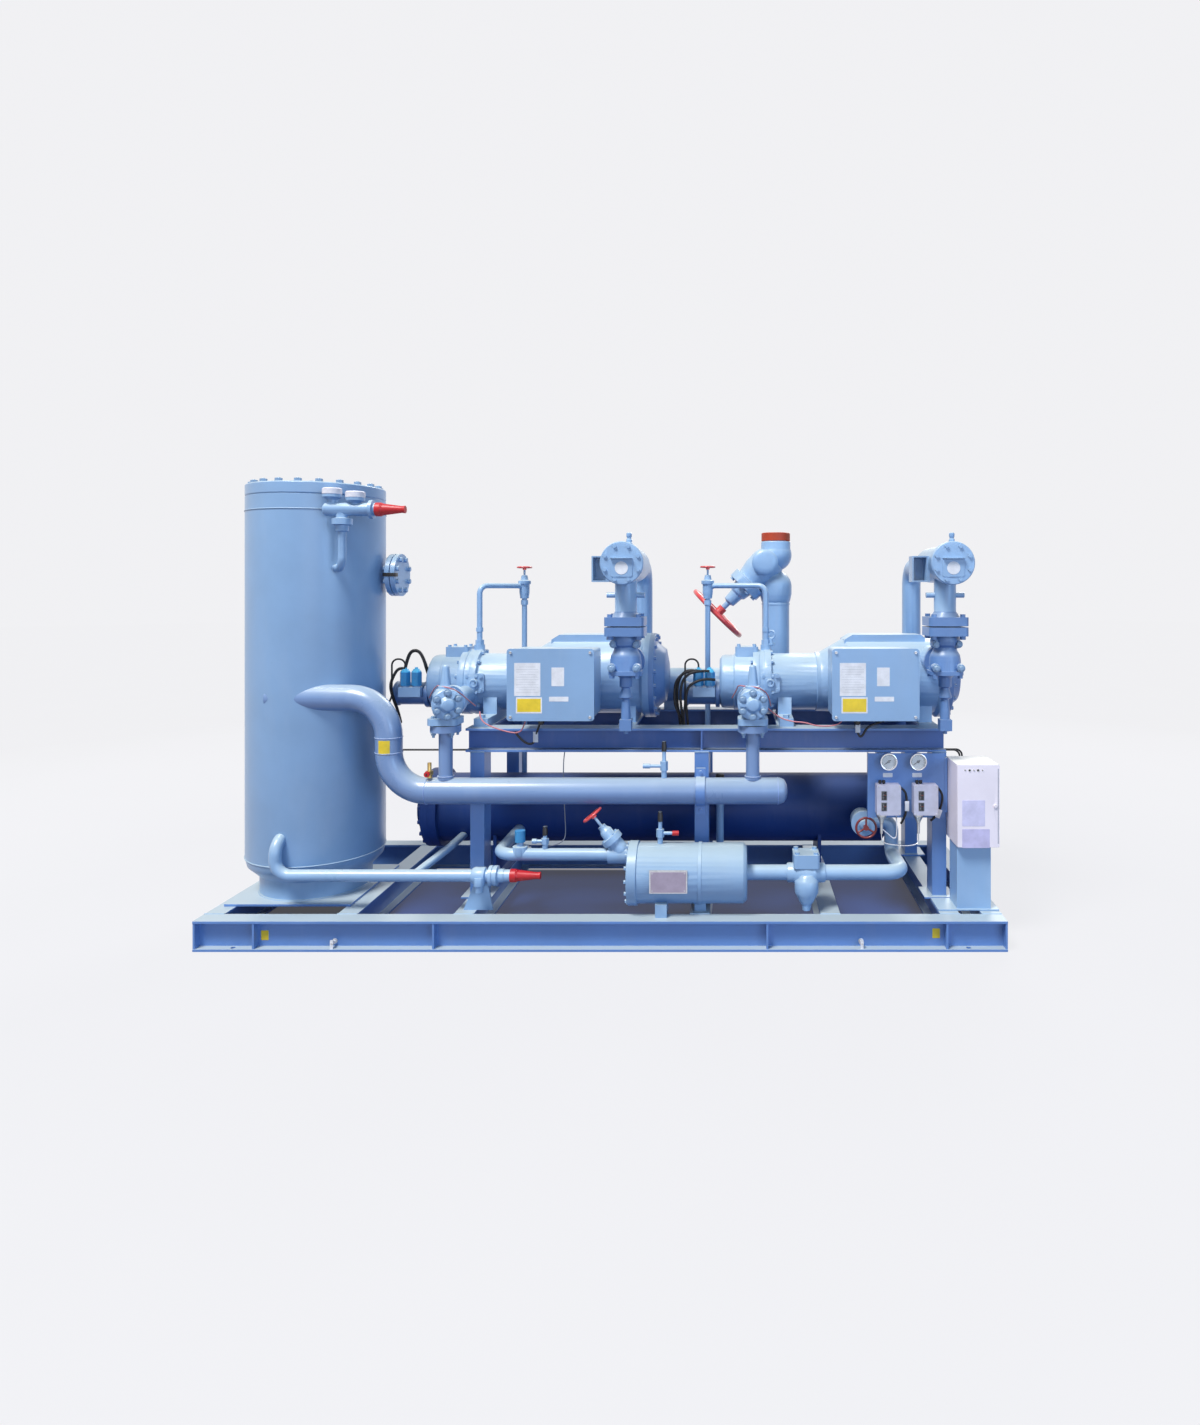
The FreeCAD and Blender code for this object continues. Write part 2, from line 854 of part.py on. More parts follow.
def separator_outlet():
    """Outlet nozzle with its flange, gasket, blind flange and bolts."""
    y, z = S.outlet_y, S.outlet_z
    bore = S.outlet_pipe_radius - S.separator_wall / 2
    neck_start = S.separator_x + S.separator_radius * 0.9
    neck = rod((neck_start, y, z), RIGHT, S.outlet_pipe_radius, S.outlet_flange_x - neck_start + 1)
    thick = S.outlet_flange_thickness
    faces = (S.outlet_flange_x, S.outlet_flange_x + thick + S.outlet_gasket)
    flanges = [rod((x, y, z), RIGHT, S.outlet_flange_radius, thick) for x in faces]
    gasket_x = S.outlet_flange_x + thick
    gasket = cut(rod((gasket_x, y, z), RIGHT, S.outlet_bolt_circle - S.outlet_bolt_size - 2, S.outlet_gasket),
                 [rod((gasket_x, y, z), RIGHT, bore, S.outlet_gasket)])
    heads = bolt_ring((faces[1] + thick, y, z), RIGHT, S.outlet_bolt_circle, S.outlet_bolt_count,
                      S.outlet_bolt_size, 12)
    nuts = bolt_ring((faces[0], y, z), LEFT, S.outlet_bolt_circle, S.outlet_bolt_count, S.outlet_bolt_size, 12)
    tool = rod((S.separator_x, S.separator_y, z - 200), UP, S.separator_radius + S.seat, 400)
    inner = cut(join([neck, flanges[0]]), [tool, rod((neck_start - 60, y, z), RIGHT, bore, 300)])
    node("separator_outlet", group([inner, gasket, flanges[1], *heads, *nuts]))


def relief_valves():
    """Two relief valves on a changeover body, fed by a hooked pipe from the shell."""
    x, y, z = S.relief_x, S.relief_y, S.relief_z
    left = x - S.relief_body_length / 2
    stub, bonnet = S.relief_stub_radius, S.relief_bonnet_radius
    parts = [turned((left, y, z), RIGHT, stepped(
        (stub, 0), (S.relief_body_radius, 8), (S.relief_body_radius, S.relief_body_length),
        (38, S.relief_body_length), (38, S.relief_body_length + 14)))]
    flange_face = left + S.relief_body_length + 14
    parts.append(rod((flange_face, y, z), RIGHT, S.relief_outlet_radius, S.relief_cap_x + 20 - flange_face))
    for offset, height in ((S.relief_first, 84), (S.relief_second, 70)):
        parts.append(turned((left + offset, y, z), UP, stepped(
            (stub, 0), (stub, height - 46), (stub + 6, height - 40), (bonnet, height - 34), (bonnet, height - 10),
            (bonnet - 5, height - 4), (bonnet - 12, height))))
    feed = left + S.relief_feed
    parts.append(turned((feed, y, z), DOWN, stepped(
        (24, 0), (24, 34), (40, 38), (40, 62), (26, 66), (26, 88), (S.relief_hook_radius, 92))))
    parts += pipe([(feed, y, z - 86), (feed, y, S.relief_hook_z),
                   (feed - 64, y + 76, S.relief_hook_z), (feed - 90, y + 107, S.relief_hook_z)],
                  S.relief_hook_radius, 42)
    tool = rod((S.separator_x, S.separator_y, S.relief_hook_z - 80), UP, S.separator_radius + S.seat, 480)
    node("relief_valves", cut(join(parts), [tool]))


def cap_outline(pipe_radius, length):
    """Outline of a soft tapered cap, open at the wide end that fits over a pipe."""
    bore = pipe_radius + S.seat
    radius = bore + 2
    return [(bore, 0), (radius, 0), (radius, length * 0.18), (radius * 0.86, length * 0.24),
            (radius * 0.5, length * 0.88), (radius * 0.56, length), (0, length), (0, length * 0.4),
            (radius * 0.62, length * 0.34), (bore, length * 0.22)]


def relief_cap():
    """Red protective cap on the relief outlet."""
    node("relief_cap", turned((S.relief_cap_x, S.relief_y, S.relief_z), RIGHT,
                              cap_outline(S.relief_outlet_radius, S.relief_cap_length)))


# Discharge side

DISCHARGE_X = (as_size(0) + S.discharge_x, S.compressor_spacing + S.discharge_x + S.discharge_second_step)


def discharge_header():
    """Header from both compressors to the separator, with the two drops and their flanges."""
    y = S.header_y
    route = [(S.separator_x - 90, S.header_inlet_y, S.header_inlet_z), (S.header_drop_x, y, S.header_inlet_z),
             (S.header_drop_x, y, S.header_z), (S.header_end - 40, y, S.header_z)]
    parts = pipe(route, S.header_radius, S.header_bend)
    parts.append(turned((S.header_end - 40, y, S.header_z), RIGHT, stepped(
        (S.header_radius, 0), (S.header_radius, 8), (S.header_radius * 0.86, 26), (S.header_radius * 0.5, 37),
        (8, 40))))
    for x in DISCHARGE_X:
        parts.append(rod((x, y, S.header_z), UP, S.drop_radius, S.drop_flange_bottom - S.header_z + 1))
        parts.append(rod((x, y, S.drop_flange_bottom), UP, S.drop_flange_radius, S.drop_flange_thickness))
        parts.append(rod((x, y, S.header_z + S.header_radius - 6), UP, S.drop_radius + 4, 14))
    tool = rod((S.separator_x, S.separator_y, S.header_inlet_z - 100), UP, S.separator_radius + S.seat, 200)
    node("discharge_header", cut(join(parts), [tool]))


def header_bracket():
    """Stay from the middle post with a strap round the header."""
    x, y, z = POST_X[1], S.header_y, S.header_z
    width = 38
    inner = S.header_radius + S.seat
    ring = cut(rod((x - width / 2, y, z), RIGHT, inner + 7, width),
               [rod((x - width, y, z), RIGHT, inner, width * 2)])
    back = y + inner + 7
    arm = block((x - width / 2, back - 9, z - 30), (width, S.deck_front - back + 9, 60))
    ears = [block((x - width / 2, y - 8, z + sign * (inner + 20) - 20), (width, 16, 40)) for sign in (-1, 1)]
    bolts = [hexagon((x, y - 8, z + sign * (inner + 24)), FRONT, 8, 8) for sign in (-1, 1)]
    hollow = rod((x - width, y, z), RIGHT, inner, width * 2)
    node("header_bracket", join([ring, cut(join([arm, *ears]), [hollow]), *bolts]))


def service_valve(at, axis, height, stem_axis):
    """Small service valve with a capped spindle to one side."""
    return join([
        rod(at, axis, 11, height * 0.45), hexagon(shift(at, axis, height * 0.2), axis, 16, height * 0.25),
        rod(shift(at, axis, height * 0.45), axis, 8, height * 0.55),
        rod(shift(at, axis, height * 0.32), stem_axis, 7, height * 0.45),
        rod(shift(shift(at, axis, height * 0.32), stem_axis, height * 0.38), stem_axis, 10, height * 0.2)])


def service_valves():
    """Small valves on the header, the filter and the liquid line, and the vessel's level tube."""
    header_top = S.header_z + S.header_radius + S.seat
    filter_top = S.filter_z + S.filter_radius + S.seat
    liquid_top = S.liquid_z + S.liquid_radius + S.seat
    parts = [
        service_valve((S.discharge_x + 899, S.header_y, header_top), UP, 150, LEFT),
        service_valve((S.discharge_x - 67, S.header_y, header_top), UP, 62, FRONT),
        service_valve((S.filter_left + 107, S.filter_y, filter_top), UP, 130, RIGHT),
        service_valve((S.liquid_left + 196, S.filter_y, liquid_top), UP, 90, LEFT),
    ]
    level_x, level_y = S.cross_member_3 + 74, S.vessel_y - S.vessel_radius - 34
    tube = [rod((level_x, level_y, S.vessel_z - 110), UP, 17, 300)]
    for z in (S.vessel_z - 70, S.vessel_z + 70):
        tube.append(rod((level_x, level_y, z), BACK, 9, 90))
    shell = rod((level_x - 60, S.vessel_y, S.vessel_z), RIGHT, S.vessel_radius + S.seat, 120)
    parts.append(cut(join(tube), [shell]))
    node("service_valves", group(parts))


def discharge_valve(label, x, turn):
    """Stop valve between a compressor and the header. Its bolted bonnet is turned from the front by an angle."""
    y = S.header_y
    low = S.drop_flange_bottom + S.drop_flange_thickness
    gasket = rod((x, y, low), UP, S.drop_flange_radius - 8, S.drop_gasket)
    bottom = low + S.drop_gasket
    port, reach = S.discharge_port_z, S.discharge_bonnet_reach
    across = S.drop_flange_radius * 2
    square = padded((x, y, bottom), Rotation(), round_corners(across, across, 26), S.drop_flange_thickness)
    body = turned((x, y, 0), UP, stepped(
        (S.discharge_body_radius - 10, bottom), (S.discharge_body_radius - 10, bottom + S.drop_flange_thickness),
        (S.discharge_body_radius, port - 30), (S.discharge_body_radius, port + 34),
        (S.discharge_body_radius - 14, S.discharge_cap_bottom - 14), (30, S.discharge_cap_bottom - 10),
        (30, S.discharge_cap_bottom), (23, S.discharge_cap_bottom + 2), (14, S.discharge_cap_top - 6),
        (10, S.discharge_cap_top)))
    angle = math.radians(float(turn))
    way = Vector(math.sin(angle), -math.cos(angle), 0)
    bonnet = turned((x, y, port), way, stepped(
        (S.discharge_body_radius - 6, 0), (S.discharge_body_radius - 6, reach - 26),
        (S.discharge_bonnet_radius, reach - 22), (S.discharge_bonnet_radius, reach - 3),
        (S.discharge_bonnet_radius - 3, reach), (34, reach + 2), (22, reach + 16), (10, reach + 18)))
    side, other = square_to(way)
    face = shift((x, y, port), way, reach)
    ribs = []
    for index in range(3):
        spoke = 2 * math.pi * index / 3
        arm = side * math.cos(spoke) + other * math.sin(spoke)
        tip = S.discharge_bonnet_radius - 8
        ribs.append(padded(face, Rotation(arm, way.cross(arm), way, "ZXY"), [(0, -9), (tip, -5), (tip, 5), (0, 9)], 9))
    heads = bolt_ring(face, way, S.discharge_bonnet_radius - 14, 6, S.discharge_bolt_size, 12)
    back = y + S.discharge_flange_back
    outlet = rod((x, y, port), BACK, S.discharge_port_radius, S.discharge_flange_back + 8)
    flange = rod((x, back, port), BACK, S.discharge_port_radius + 22, S.discharge_flange)
    node(label, group([join([square, body, bonnet, outlet, flange, *ribs, *heads]), gasket]))


# Compressors

MALE_Y, MALE_Z = as_size(0), S.motor_axis_z
FEMALE_Y = S.rotor_offset_y
FEMALE_Z = S.motor_axis_z - root(S.rotor_centres * S.rotor_centres - S.rotor_offset_y * S.rotor_offset_y)
MALE_OUTER = S.male_pitch_radius + S.male_lobe_radius
ROTOR_END = S.rotor_start + S.rotor_length
DISCHARGE_FLANGE_BACK = S.header_y + S.discharge_flange_back + S.discharge_flange


def rotor_housing(label, base, port_x):
    """Housing of the two rotors and the capacity slide, with its bearings."""
    y, z = S.housing_y, S.housing_z
    radius, rim = S.housing_radius, S.housing_flange_radius
    first, second = S.housing_seam_1 - S.housing_start, S.housing_seam_2 - S.housing_start
    total = S.housing_end - S.housing_start
    thick = S.housing_flange
    outline = stepped(
        (radius - 26, 0), (radius - 10, 10), (radius - 6, 24), (radius - 6, 62), (radius, 68), (radius, first),
        (rim, first), (rim, first + thick), (rim - 3, first + thick + 2), (rim - 3, second - 2), (rim, second),
        (rim, second + thick), (radius + 2, second + thick + 4), (radius, second + thick + 30),
        (radius, total - 16), (radius + 6, total - 14), (radius + 6, total))
    start = base + S.housing_start
    parts = [turned((start, y, z), RIGHT, outline)]
    parts += bolt_ring((base + S.housing_seam_1, y, z), LEFT, rim - 10, S.housing_bolt_count,
                       S.housing_bolt_size, 10)
    parts += bolt_ring((base + S.housing_seam_2 + thick, y, z), RIGHT, rim - 10, S.housing_bolt_count,
                       S.housing_bolt_size, 10)
    cap_x = base + S.top_cap_start
    cap_low = z + radius - 40
    cap_at = (cap_x + S.top_cap_length / 2, y, cap_low)
    parts.append(padded(cap_at, Rotation(), round_corners(S.top_cap_length, S.top_cap_width, 12),
                        S.top_cap_top - cap_low))
    for dx in (-1, 1):
        for dy in (-1, 1):
            spot = shift(cap_at, RIGHT, dx * (S.top_cap_length / 2 - 16))
            spot = shift(spot, BACK, dy * (S.top_cap_width / 2 - 16))
            parts.append(hexagon(shift(spot, UP, S.top_cap_top - cap_low), UP, 8, 9))
    parts.append(rod((base + S.eco_port_x, y, z + radius - 30), UP, 24, 70))
    outlet = (port_x, DISCHARGE_FLANGE_BACK, S.discharge_port_z)
    parts.append(rod(outlet, BACK, S.discharge_port_radius, y - DISCHARGE_FLANGE_BACK - 60))
    parts.append(rod(outlet, BACK, S.discharge_port_radius + 22, S.discharge_flange + 2))
    pad_face, pad_side = y - radius - 10, S.oil_pad_side
    pad_at = (base + S.oil_pad_x, pad_face, S.oil_pad_z)
    parts.append(padded(shift(pad_at, BACK, 60), Rotation(RIGHT, UP, FRONT, "ZXY"),
                        round_corners(pad_side, pad_side, 12), 60))
    parts.append(turned(pad_at, FRONT, [(9, -2), (20, -2), (20, 8), (17, 12), (12, 12), (9, 4)]))
    step = pad_side / 2 - 13
    parts += [hexagon(shift(shift(pad_at, RIGHT, dx * step), UP, dz * step), FRONT, 8, 8)
              for dx in (-1, 1) for dz in (-1, 1)]
    foot_x = base + S.foot_1_x - S.foot_length / 2
    lug_front = S.deck_front + S.deck_section / 2
    parts.append(block((foot_x, lug_front, DECK_TOP), (S.foot_length, y - S.foot_width / 2 - lug_front, 34)))
    parts.append(hexagon((foot_x + S.foot_length / 2, lug_front + 22, DECK_TOP + 34), UP, 14, 14))
    parts.append(block((foot_x, y - S.foot_width / 2, DECK_TOP),
                       (S.foot_length, S.foot_width, z - 60 - DECK_TOP)))
    play = S.rotor_bore_play
    inside = S.rotor_length + play * 2
    bore_x = base + S.rotor_start - play
    hollows = [
        rod((bore_x, MALE_Y, MALE_Z), RIGHT, MALE_OUTER + play, inside),
        rod((bore_x, FEMALE_Y, FEMALE_Z), RIGHT, S.female_outer_radius + play, inside),
        rod((base + S.slide_start - S.slide_travel - 2, S.slide_y, S.slide_z), RIGHT,
            S.slide_radius + S.slide_play, S.slide_length + S.slide_travel + 4),
        rod((start - 1, S.slide_y, S.slide_z), RIGHT, S.piston_rod_radius + S.slide_play,
            S.slide_start - S.housing_start),
        rod((base + S.bearing_start, MALE_Y, MALE_Z), RIGHT, S.bearing_radius, S.bearing_width),
        rod((base + S.bearing_start, FEMALE_Y, FEMALE_Z), RIGHT, S.female_bearing_radius, S.bearing_width),
        rod((base + S.shaft_start - 3, MALE_Y, MALE_Z), RIGHT, S.male_shaft_radius + play,
            S.housing_end - S.shaft_start + 4),
        rod((base + S.shaft_start - 3, FEMALE_Y, FEMALE_Z), RIGHT, S.female_shaft_radius + play,
            ROTOR_END - S.shaft_start + 38),
    ]
    housing = cut(join(parts), hollows)
    rings = [bearing(base + S.bearing_start, MALE_Y, MALE_Z, S.bearing_radius, S.male_shaft_radius),
             bearing(base + S.bearing_start, FEMALE_Y, FEMALE_Z, S.female_bearing_radius, S.female_shaft_radius)]
    node(label, group([housing, *rings]))


def bearing(x, y, z, outer, shaft):
    """Plain bearing ring round a shaft."""
    return cut(rod((x, y, z), RIGHT, outer, S.bearing_width),
               [rod((x, y, z), RIGHT, shaft + S.running_fit, S.bearing_width)])


def lofted_neck(base):
    """Casting that grows from the rotor housing's flange to the motor's diameter."""
    rings = []
    for x, y, z, radius in ((S.housing_end, S.housing_y, S.housing_z, S.housing_radius + 4),
                            (S.motor_cone_end, as_size(0), S.motor_axis_z, S.motor_radius)):
        ring = DOC.addObject("Part::Circle", "ring")
        tie(ring, "Radius", radius)
        rings.append(place(ring, (base + x, y, z), facing(RIGHT)))
    loft = DOC.addObject("Part::Loft", "neck")
    loft.Sections = rings
    loft.Solid = True
    loft.Ruled = True
    return loft


def motor_housing(label, base):
    """Motor casing with its neck, suction nozzle, foot and end flange."""
    radius, rim = S.motor_radius, S.motor_flange_radius
    start = S.motor_cone_end
    total = S.motor_end - start
    z = S.motor_axis_z
    barrel = turned((base + start, 0, z), RIGHT, stepped(
        (radius, 0), (radius, total - S.motor_flange - 14), (rim, total - S.motor_flange), (rim, total)))
    collar = rod((base + S.housing_end, S.housing_y, S.housing_z), RIGHT, S.housing_radius + 6, 14)
    hump = padded((base + S.motor_cone_end, 75, z), Rotation(RIGHT, UP, FRONT, "ZXY"),
                  [(-12, 100), (-12, radius - 8), (24, radius + 14), (330, radius + 14), (348, radius),
                   (348, 100)], 150)
    nozzle_z = S.suction_port_z
    face = S.suction_y + S.suction_port_radius + 30
    nozzle = rod((base + S.suction_x, face, nozzle_z), BACK, S.suction_port_radius, -face - 100)
    flange = rod((base + S.suction_x, face, nozzle_z), BACK, S.suction_port_radius + 18, 18)
    foot = block((base + S.foot_2_x - S.foot_length / 2, -S.foot_width / 2, DECK_TOP),
                 (S.foot_length, S.foot_width, z - 100 - DECK_TOP))
    neck_left = base + S.box_left + S.box_length / 2 - S.box_neck / 2
    neck = block((neck_left, S.box_front + S.box_depth, S.motor_axis_z - 70),
                 (S.box_neck, -S.box_front - S.box_depth - 90, 140))
    gas = turned((base + S.motor_cavity_start, 0, z), RIGHT, stepped(
        (S.motor_bore, 0), (S.motor_bore, S.motor_end - S.motor_cavity_start + 1)))
    shaft = rod((base + S.housing_end - 1, 0, z), RIGHT, S.male_shaft_radius + 8,
                S.motor_cavity_start - S.housing_end + 2)
    shaft_ring = bearing(base + S.housing_end + 30, MALE_Y, MALE_Z, S.bearing_radius, S.male_shaft_radius)
    seat_hole = rod((base + S.housing_end + 30, 0, z), RIGHT, S.bearing_radius, S.bearing_width)
    casing = cut(join([lofted_neck(base), barrel, collar, hump, nozzle, flange, foot, neck]),
                 [gas, shaft, seat_hole])
    node(label, group([casing, shaft_ring]))


def end_covers():
    """Domed covers that close the motor ends, with their bolts."""
    parts = []
    for base in (as_size(0), S.compressor_spacing):
        at = (base + S.motor_end, 0, S.motor_axis_z)
        rim, flange, crown, wall = S.motor_flange_radius, S.end_cover_flange, S.end_cover_crown, S.end_cover_wall
        outline = [(0, flange + crown - wall), (rim * 0.55, flange + crown * 0.62 - wall),
                   (S.motor_bore - 12, flange - wall), (S.motor_bore - 8, 0), (rim, 0), (rim, flange - 3),
                   (rim - 3, flange), (S.motor_bore, flange), (rim * 0.62, flange + crown * 0.72),
                   (rim * 0.3, flange + crown * 0.94), (0, flange + crown)]
        cover = turned(at, RIGHT, outline)
        face = shift(at, RIGHT, flange)
        heads = bolt_ring(face, RIGHT, rim - 13, S.end_bolt_count, S.end_bolt_size, S.end_bolt_height)
        parts.append(join([cover, *heads]))
    node("end_covers", group(parts))


def slide_cylinders():
    """Cylinders of the two capacity pistons, with their end caps."""
    parts = []
    for base in (as_size(0), S.compressor_spacing):
        bore = S.piston_radius + S.slide_play
        outer = bore + S.cylinder_wall
        length = S.cylinder_length
        at = (base + S.housing_start - length, S.slide_y, S.slide_z)
        outline = [
            (0, 0), (outer - 6, 0), (outer, 6), (outer, 18), (outer - 5, 20), (outer - 5, length - 20),
            (outer + 8, length - 18), (outer + 8, length), (bore, length), (bore, 14), (0, 14)]
        parts.append(turned(at, RIGHT, outline))
    node("slide_cylinders", group(parts))


def slide_valve(label, base):
    """Capacity slide under the rotors, with its rod and piston."""
    y, z = S.slide_y, S.slide_z
    start = base + S.slide_start
    body = rod((start, y, z), RIGHT, S.slide_radius, S.slide_length)
    play = S.rotor_bore_play
    long = S.slide_length + S.slide_travel * 2 + 60
    scoops = [rod((start - 20, MALE_Y, MALE_Z), RIGHT, MALE_OUTER + play, long),
              rod((start - 20, FEMALE_Y, FEMALE_Z), RIGHT, S.female_outer_radius + play, long)]
    piston_x = base + S.housing_start - S.piston_width - 6
    push_rod = rod((piston_x + 2, y, z), RIGHT, S.piston_rod_radius, start - piston_x)
    piston = turned((piston_x, y, z), RIGHT, stepped(
        (S.piston_radius, 0), (S.piston_radius, 6), (S.piston_radius - 3, 6), (S.piston_radius - 3, 11),
        (S.piston_radius, 11), (S.piston_radius, S.piston_width)))
    node(label, join([cut(body, scoops), push_rod, piston]))


def lobe_profile(pitch, lobe, land, count, phase, inward):
    """Closed wire of round lobes, or flutes where inward, centred on the pitch circle."""
    edges = []
    reach = math.acos((pitch ** 2 + land ** 2 - lobe ** 2) / (2 * pitch * land))
    for index in range(count):
        angle = phase + 2 * math.pi * index / count
        middle = Vector(pitch * math.cos(angle), pitch * math.sin(angle), 0)
        ends = [Vector(land * math.cos(angle + sign * reach), land * math.sin(angle + sign * reach), 0)
                for sign in (-1, 1)]
        tip = middle * ((pitch + (-lobe if inward else lobe)) / pitch)
        edges.append(Part.Arc(ends[0], tip, ends[1]).toShape())
        following = angle + 2 * math.pi / count
        last = Vector(land * math.cos(following - reach), land * math.sin(following - reach), 0)
        half = (2 * angle + 2 * math.pi / count) / 2
        crest = Vector(land * math.cos(half), land * math.sin(half), 0)
        edges.append(Part.Arc(ends[1], crest, last).toShape())
    return Part.Wire(edges)


def twisted(profile, length, turns):
    """Sweep a profile along Z while it turns by a number of turns."""
    spine = Part.Wire(Part.LineSegment(Vector(0, 0, 0), Vector(0, 0, length)).toShape())
    guide = Part.makeHelix(length / abs(turns), length, 30, 0, turns < 0)
    sweep = Part.BRepOffsetAPI.MakePipeShell(spine)
    sweep.setAuxiliarySpine(guide, True, 0)
    sweep.add(profile)
    sweep.build()
    sweep.makeSolid()
    return sweep.shape()


def screw(profile, turns, base, y, z):
    """Rotor body whose shape is worked out from the sheet's values and then placed."""
    obj = DOC.addObject("Part::Feature", "screw")
    shape = twisted(profile, S.rotor_length.number, turns)
    obj.Shape = shape if shape.Volume > 0 else shape.reversed()
    return place(obj, (base + S.rotor_start, y, z), facing(RIGHT))


MALE_LOBES = 5
FEMALE_FLUTES = 6
MALE_TURNS = 0.8


def rotor_phase():
    """Angle in the rotor's own plane that points from the male axis to the female axis."""
    to_female = Vector(0, FEMALE_Y.number, FEMALE_Z.number - MALE_Z.number)
    turn = facing(RIGHT)
    x_way, y_way = turn.multVec(RIGHT), turn.multVec(BACK)
    return math.atan2(to_female.dot(y_way), to_female.dot(x_way))


def male_rotor(label, base):
    """Male rotor with its shaft and the motor's rotor on the far end."""
    profile = lobe_profile(S.male_pitch_radius.number, S.male_lobe_radius.number, S.male_root_radius.number,
                           MALE_LOBES, rotor_phase(), False)
    screws = screw(profile, MALE_TURNS, base, MALE_Y, MALE_Z)
    shaft = rod((base + S.shaft_start, MALE_Y, MALE_Z), RIGHT, S.male_shaft_radius, S.shaft_end - S.shaft_start)
    core = turned((base + S.motor_core_start, MALE_Y, MALE_Z), RIGHT, stepped(
        (S.motor_core_radius - 10, 0), (S.motor_core_radius, 0.1), (S.motor_core_radius, S.motor_core_length)))
    node(label, join([screws, shaft, core]))


def female_rotor(label, base):
    """Female rotor with its shaft."""
    profile = lobe_profile(S.female_pitch_radius.number, S.female_flute_radius.number,
                           S.female_outer_radius.number, FEMALE_FLUTES, rotor_phase() + math.pi, True)
    screws = screw(profile, -MALE_TURNS * MALE_LOBES / FEMALE_FLUTES, base, FEMALE_Y, FEMALE_Z)
    long = ROTOR_END - S.shaft_start + 30
    shaft = rod((base + S.shaft_start, FEMALE_Y, FEMALE_Z), RIGHT, S.female_shaft_radius, long)
    node(label, join([screws, shaft]))


def motor_stators():
    """Stator stacks and their end windings."""
    parts = []
    for base in (as_size(0), S.compressor_spacing):
        start = base + S.motor_core_start + (S.motor_core_length - S.stator_length) / 2
        gap = S.motor_core_radius + S.air_gap
        outer = S.motor_bore - S.seat
        inner, inset, wind = gap, S.winding_inset, S.winding_length
        outline = [
            (inner, 0), (inner + inset * 0.5, 0), (inner + inset * 0.5, 4 - wind * 0.4),
            (outer - inset, 4 - wind * 0.4),
            (outer - inset, 0), (outer, 0), (outer, S.stator_length), (outer - inset, S.stator_length),
            (outer - inset, S.stator_length + wind), (inner + inset * 0.5, S.stator_length + wind),
            (inner + inset * 0.5, S.stator_length), (inner, S.stator_length)]
        parts.append(turned((start, 0, S.motor_axis_z), RIGHT, outline))
    node("motor_stators", group(parts))


def terminal_boxes():
    """Terminal boxes on the motors, each a hollow box behind a screwed cover."""
    parts = []
    for base in (as_size(0), S.compressor_spacing):
        wide, high, deep = S.box_length, S.box_height, S.box_depth
        middle = (base + S.box_left + wide / 2, S.box_bottom + high / 2)
        turn = Rotation(RIGHT, UP, FRONT, "ZXY")
        shell = padded((middle[0], S.box_front + deep, middle[1]), turn,
                       round_corners(wide - 12, high - 12, S.box_corner), deep - S.box_cover)
        room = padded((middle[0], S.box_front + deep - S.box_wall, middle[1]), turn,
                      round_corners(wide - 12 - S.box_wall * 2, high - 12 - S.box_wall * 2,
                                    S.box_corner - S.box_wall),
                      deep - S.box_cover - S.box_wall)
        cover = padded((middle[0], S.box_front + S.box_cover, middle[1]), turn,
                       round_corners(wide, high, S.box_corner), S.box_cover)
        screws = []
        for dx in (-1, 1):
            for dz in (-1, 1):
                at = (middle[0] + dx * (wide / 2 - 16), S.box_front, middle[1] + dz * (high / 2 - 16))
                screws.append(rod(at, FRONT, 6, 4))
        gland = turned((middle[0] - 60, S.box_front + deep / 2, S.box_bottom + 6), DOWN, stepped(
            (17, -2), (17, 14), (13, 16), (13, 30), (9, 36)))
        parts.append(join([cut(shell, [room]), cover, *screws, gland]))
    node("terminal_boxes", group(parts))


COIL_TOP = S.coil_height + 22


def solenoid_coils():
    """Pairs of capacity-control solenoids on a block in front of each slide cylinder."""
    parts = []
    for base in (as_size(0), S.compressor_spacing):
        outer = S.piston_radius + S.slide_play + S.cylinder_wall
        back = S.slide_y - outer * 0.8
        wide = S.coil_pitch + S.coil_radius * 2
        x = base + S.coil_x
        front = back - S.coil_block_depth
        top = S.slide_z + S.coil_block_top
        tool = rod((x - 100, S.slide_y, S.slide_z), RIGHT, outer - 5 + S.seat, 200)
        base_block = cut(block((x - wide / 2, front, top - S.coil_block_height),
                               (wide, S.coil_block_depth + 12, S.coil_block_height)), [tool])
        bits = [base_block]
        for side in (-1, 1):
            cx, cy = x + side * S.coil_pitch / 2, front + S.coil_block_depth / 2
            bits.append(turned((cx, cy, top), UP, stepped(
                (17, 0), (17, 6), (S.coil_radius - 5, 6), (S.coil_radius - 4, S.coil_height + 4),
                (15, S.coil_height + 6), (15, S.coil_height + 12), (12, S.coil_height + 15),
                (7, S.coil_height + 15), (7, COIL_TOP))))
            bits.append(hexagon((cx, cy, top + 8), UP, S.coil_radius, S.coil_height - 8))
        parts.append(join(bits))
    node("solenoid_coils", group(parts))


# Suction side

